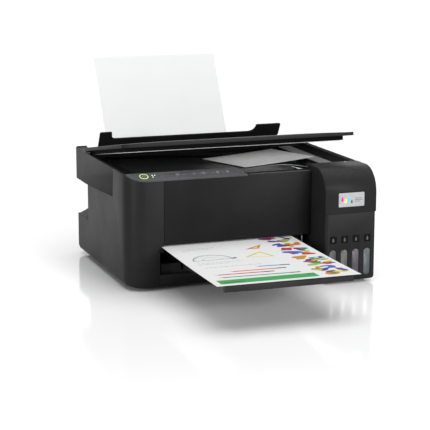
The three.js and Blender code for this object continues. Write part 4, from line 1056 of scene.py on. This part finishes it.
def on_page(a, b, h):
    """Printed page: a from its left edge, b from its front edge; it sags a little on the tray."""
    sag = 1.1 * mm * math.sin(math.pi * min(1, max(0, b / (250 * mm))))
    across = a - a4_width / 2
    return Vector((
        page_left + a4_width / 2 + across * math.cos(page_turn) - b * math.sin(page_turn),
        page_front + across * math.sin(page_turn) + b * math.cos(page_turn),
        page_low - sag + h,
    ))


page_thickness = 0.12 * mm
ink_depth = 0.55
printed_page = paper_sheet(
    "printed_page", a4_width, a4_length, on_page, page_thickness, page_paper_painted_shade,
)
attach(printed_page, "root")


def printed(name, colour, outlines, level=0):
    """Marks printed on the page, as thin films of ink; outlines are in millimetres."""
    colour = shade(colour, ink_depth)
    made, tree, shader = new_finish(f"print_{name}", colour, 0.55, Specular_IOR_Level=0.3)
    grain = put(tree, "ShaderNodeTexNoise", {"Scale": 700.0, "Detail": 3.0})
    tree.links.new(
        blended(tree, grain.outputs["Fac"], shade(colour, 0.85), shade(colour, 1.12)),
        shader.inputs["Base Color"],
    )
    film = inlay(
        f"page_print_{name}",
        [[(a * mm, b * mm) for a, b in points] for points in outlines],
        lambda a, b, h: on_page(a, b, page_thickness + (0.01 + 0.05 * level) * mm + h),
        0.04 * mm, made,
    )
    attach(film, "root")


def stroke(a0, b0, a1, b1, width, pieces=6):
    """A straight bar from one point to another, cut into short lengths so it follows the sag."""
    along = Vector((a1 - a0, b1 - b0))
    side = Vector((-along.y, along.x)).normalized() * width / 2
    made = []
    for i in range(pieces):
        start = Vector((a0, b0)) + along * i / pieces
        end = Vector((a0, b0)) + along * (i + 1) / pieces
        corners = start - side, end - side, end + side, start + side
        made.append([tuple(corner) for corner in corners])
    return made


printed("ruler", (0.045, 0.36, 0.09), stroke(9.5, 20, 152, 20, 22, 12))
ruler_ticks = []
for i in range(28):
    a = 13 + i * 4.9
    ruler_ticks += stroke(a, 31, a, 31 - (6 if i % 5 == 0 else 3.4), 0.5, 1)
printed("ruler_ticks", (0.30, 0.75, 0.36), ruler_ticks, 1)
printed("ruler_hole", (0.02, 0.12, 0.04), [disc(143, 27, 2.4)] + stroke(16, 17, 46, 17, 3.2, 4), 1)
pencils = {
    "blue": ((0.05, 0.30, 0.66), 95, 92, 140, 89),
    "orange": ((0.72, 0.13, 0.07), 50, 74, 128, 73),
    "pink": ((0.66, 0.05, 0.10), 24, 61, 105, 59),
    "green": ((0.04, 0.30, 0.14), 24, 45, 137, 42),
}
dark_ends, points_bare = [], []
for dye, (colour, a0, b0, a1, b1) in pencils.items():
    join_a = a1 - 15
    join_b = b0 + (b1 - b0) * (join_a - a0) / (a1 - a0)
    printed(f"pencil_{dye}", colour, stroke(a0, b0, join_a, join_b, 4.2))
    dark_ends += stroke(join_a, join_b, a1, b1, 4.2, 2)
    points_bare.append([(a0, b0 - 2.0), (a0, b0 + 2.0), (a0 - 7, b0 + 0.2)])
printed("pencil_ends", (0.05, 0.045, 0.05), dark_ends)
printed("pencil_points", (0.62, 0.48, 0.36), points_bare)
printed("protractor", (0.34, 0.34, 0.38), [
    *[band(47, 149, 28, 30, turn, turn + 30, 5) for turn in range(0, 180, 30)],
    *[band(47, 149, 15, 15.8, turn, turn + 30, 5) for turn in range(0, 180, 30)],
    *stroke(16, 148.5, 78, 149.5, 1.6, 6),
    *[points for turn in range(10, 180, 10) for points in stroke(
        47 + 24 * math.cos(math.radians(turn)), 149 + 24 * math.sin(math.radians(turn)),
        47 + 28 * math.cos(math.radians(turn)), 149 + 28 * math.sin(math.radians(turn)), 0.6, 1)],
])
printed("eraser", (0.04, 0.04, 0.045), stroke(75, 150, 83, 152, 5, 1))
dash_rows = []
dash_random = random.Random(11)
for b, start, end in ((133, 17, 86), (126, 18, 60), (212, 20, 60), (220, 22, 70), (106, 20, 104)):
    a = start
    while a < end:
        width = dash_random.uniform(2.0, 7.0)
        dash_rows += stroke(a, b, a + width, b, 1.4, 1)
        a += width + 1.8
printed("dash_rows", (0.36, 0.36, 0.38), dash_rows)
printed("set_square", (0.75, 0.30, 0.05), [[(112, 195), (145, 217), (134, 194)]])
printed("set_square_hole", (0.90, 0.86, 0.80), [[(125, 199), (136, 206.5), (132.5, 199)]], 1)
printed("yellow_square", (0.72, 0.72, 0.05), [
    *stroke(98, 150, 127, 174, 3.4, 5), *stroke(127, 174, 137, 143, 3.4, 5),
    *stroke(98, 150, 137, 143, 1.6, 5),
])


def blob(a, b, width, height, turn, lobes):
    """A rounded shape with soft lobes, turned in the page's plane."""
    points = []
    for i in range(24):
        t = 2 * math.pi * i / 24
        r = 1 + 0.22 * math.cos(lobes * t)
        x, y = width / 2 * r * math.cos(t), height / 2 * r * math.sin(t)
        points.append((
            a + x * math.cos(turn) - y * math.sin(turn),
            b + x * math.sin(turn) + y * math.cos(turn),
        ))
    return points


scatter = {
    "plum": ((0.20, 0.03, 0.22), [
        (166, 249, 22, 14, 2), (191, 173, 19, 20, 3), (178, 100, 26, 17, 4),
    ]),
    "lime": ((0.45, 0.52, 0.04), [(187, 229, 24, 16, 3), (172, 77, 18, 14, 2)]),
    "navy": ((0.05, 0.07, 0.32), [(165, 208, 18, 7, 1), (172, 200, 15, 17, 3)]),
    "amber": ((0.76, 0.25, 0.04), [
        (189, 201, 24, 14, 2), (170, 124, 23, 19, 3), (173, 19, 22, 17, 1),
    ]),
    "brick": ((0.50, 0.04, 0.04), [
        (171, 178, 20, 16, 4), (190, 143, 20, 15, 3), (193, 79, 22, 13, 4),
    ]),
    "sky": ((0.04, 0.16, 0.55), [(172, 157, 26, 16, 2), (184, 57, 20, 22, 2)]),
    "leaf": ((0.05, 0.36, 0.12), [(190, 112, 25, 13, 3)]),
    "violet": ((0.25, 0.05, 0.42), [(170, 50, 17, 20, 3)]),
    "sun": ((0.80, 0.68, 0.05), [(188, 29, 25, 16, 2)]),
}
turn_random = random.Random(5)
for level, (dye, (colour, shapes)) in enumerate(scatter.items()):
    printed(f"shape_{dye}", colour, [
        blob(a, b, width, height, turn_random.uniform(-0.6, 0.6), lobes)
        for a, b, width, height, lobes in shapes
    ], level % 3)
small_random = random.Random(23)
for level, (dye, (colour, shapes)) in enumerate(scatter.items()):
    printed(f"small_shape_{dye}", shade(colour, 0.8), [
        blob(
            small_random.uniform(164, 199), small_random.uniform(16, 252),
            small_random.uniform(8, 15), small_random.uniform(6, 11),
            small_random.uniform(-1, 1), small_random.randint(1, 4),
        ) for _ in range(4)
    ], 3 + level % 3)
printed("shape_gaps", (0.88, 0.88, 0.89), [
    blob(177, 54, 13, 9, 0.4, 2), blob(188, 29, 8, 5, 0, 2), blob(190, 112, 8, 4, 0.2, 2),
], 6)

photo_width, photo_length = 150 * mm, 102 * mm
photo_turn = math.radians(21)
photo_middle = Vector((0.0735, (glass_low.y + glass_high.y) / 2 + 6 * mm, frame_high.z + 0.42 * mm))


def photo_place(a, b, h):
    x, y = a - photo_width / 2, b - photo_length / 2
    curl = 0.7 * mm * (2 * x / photo_width) ** 2
    return photo_middle + Vector((
        x * math.cos(photo_turn) - y * math.sin(photo_turn),
        x * math.sin(photo_turn) + y * math.cos(photo_turn),
        curl + h,
    ))


photo_sheet = paper_sheet(
    "photo_sheet", photo_width, photo_length, photo_place, 0.25 * mm, photo_paper, 20, 8,
)
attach(photo_sheet, "scanner")
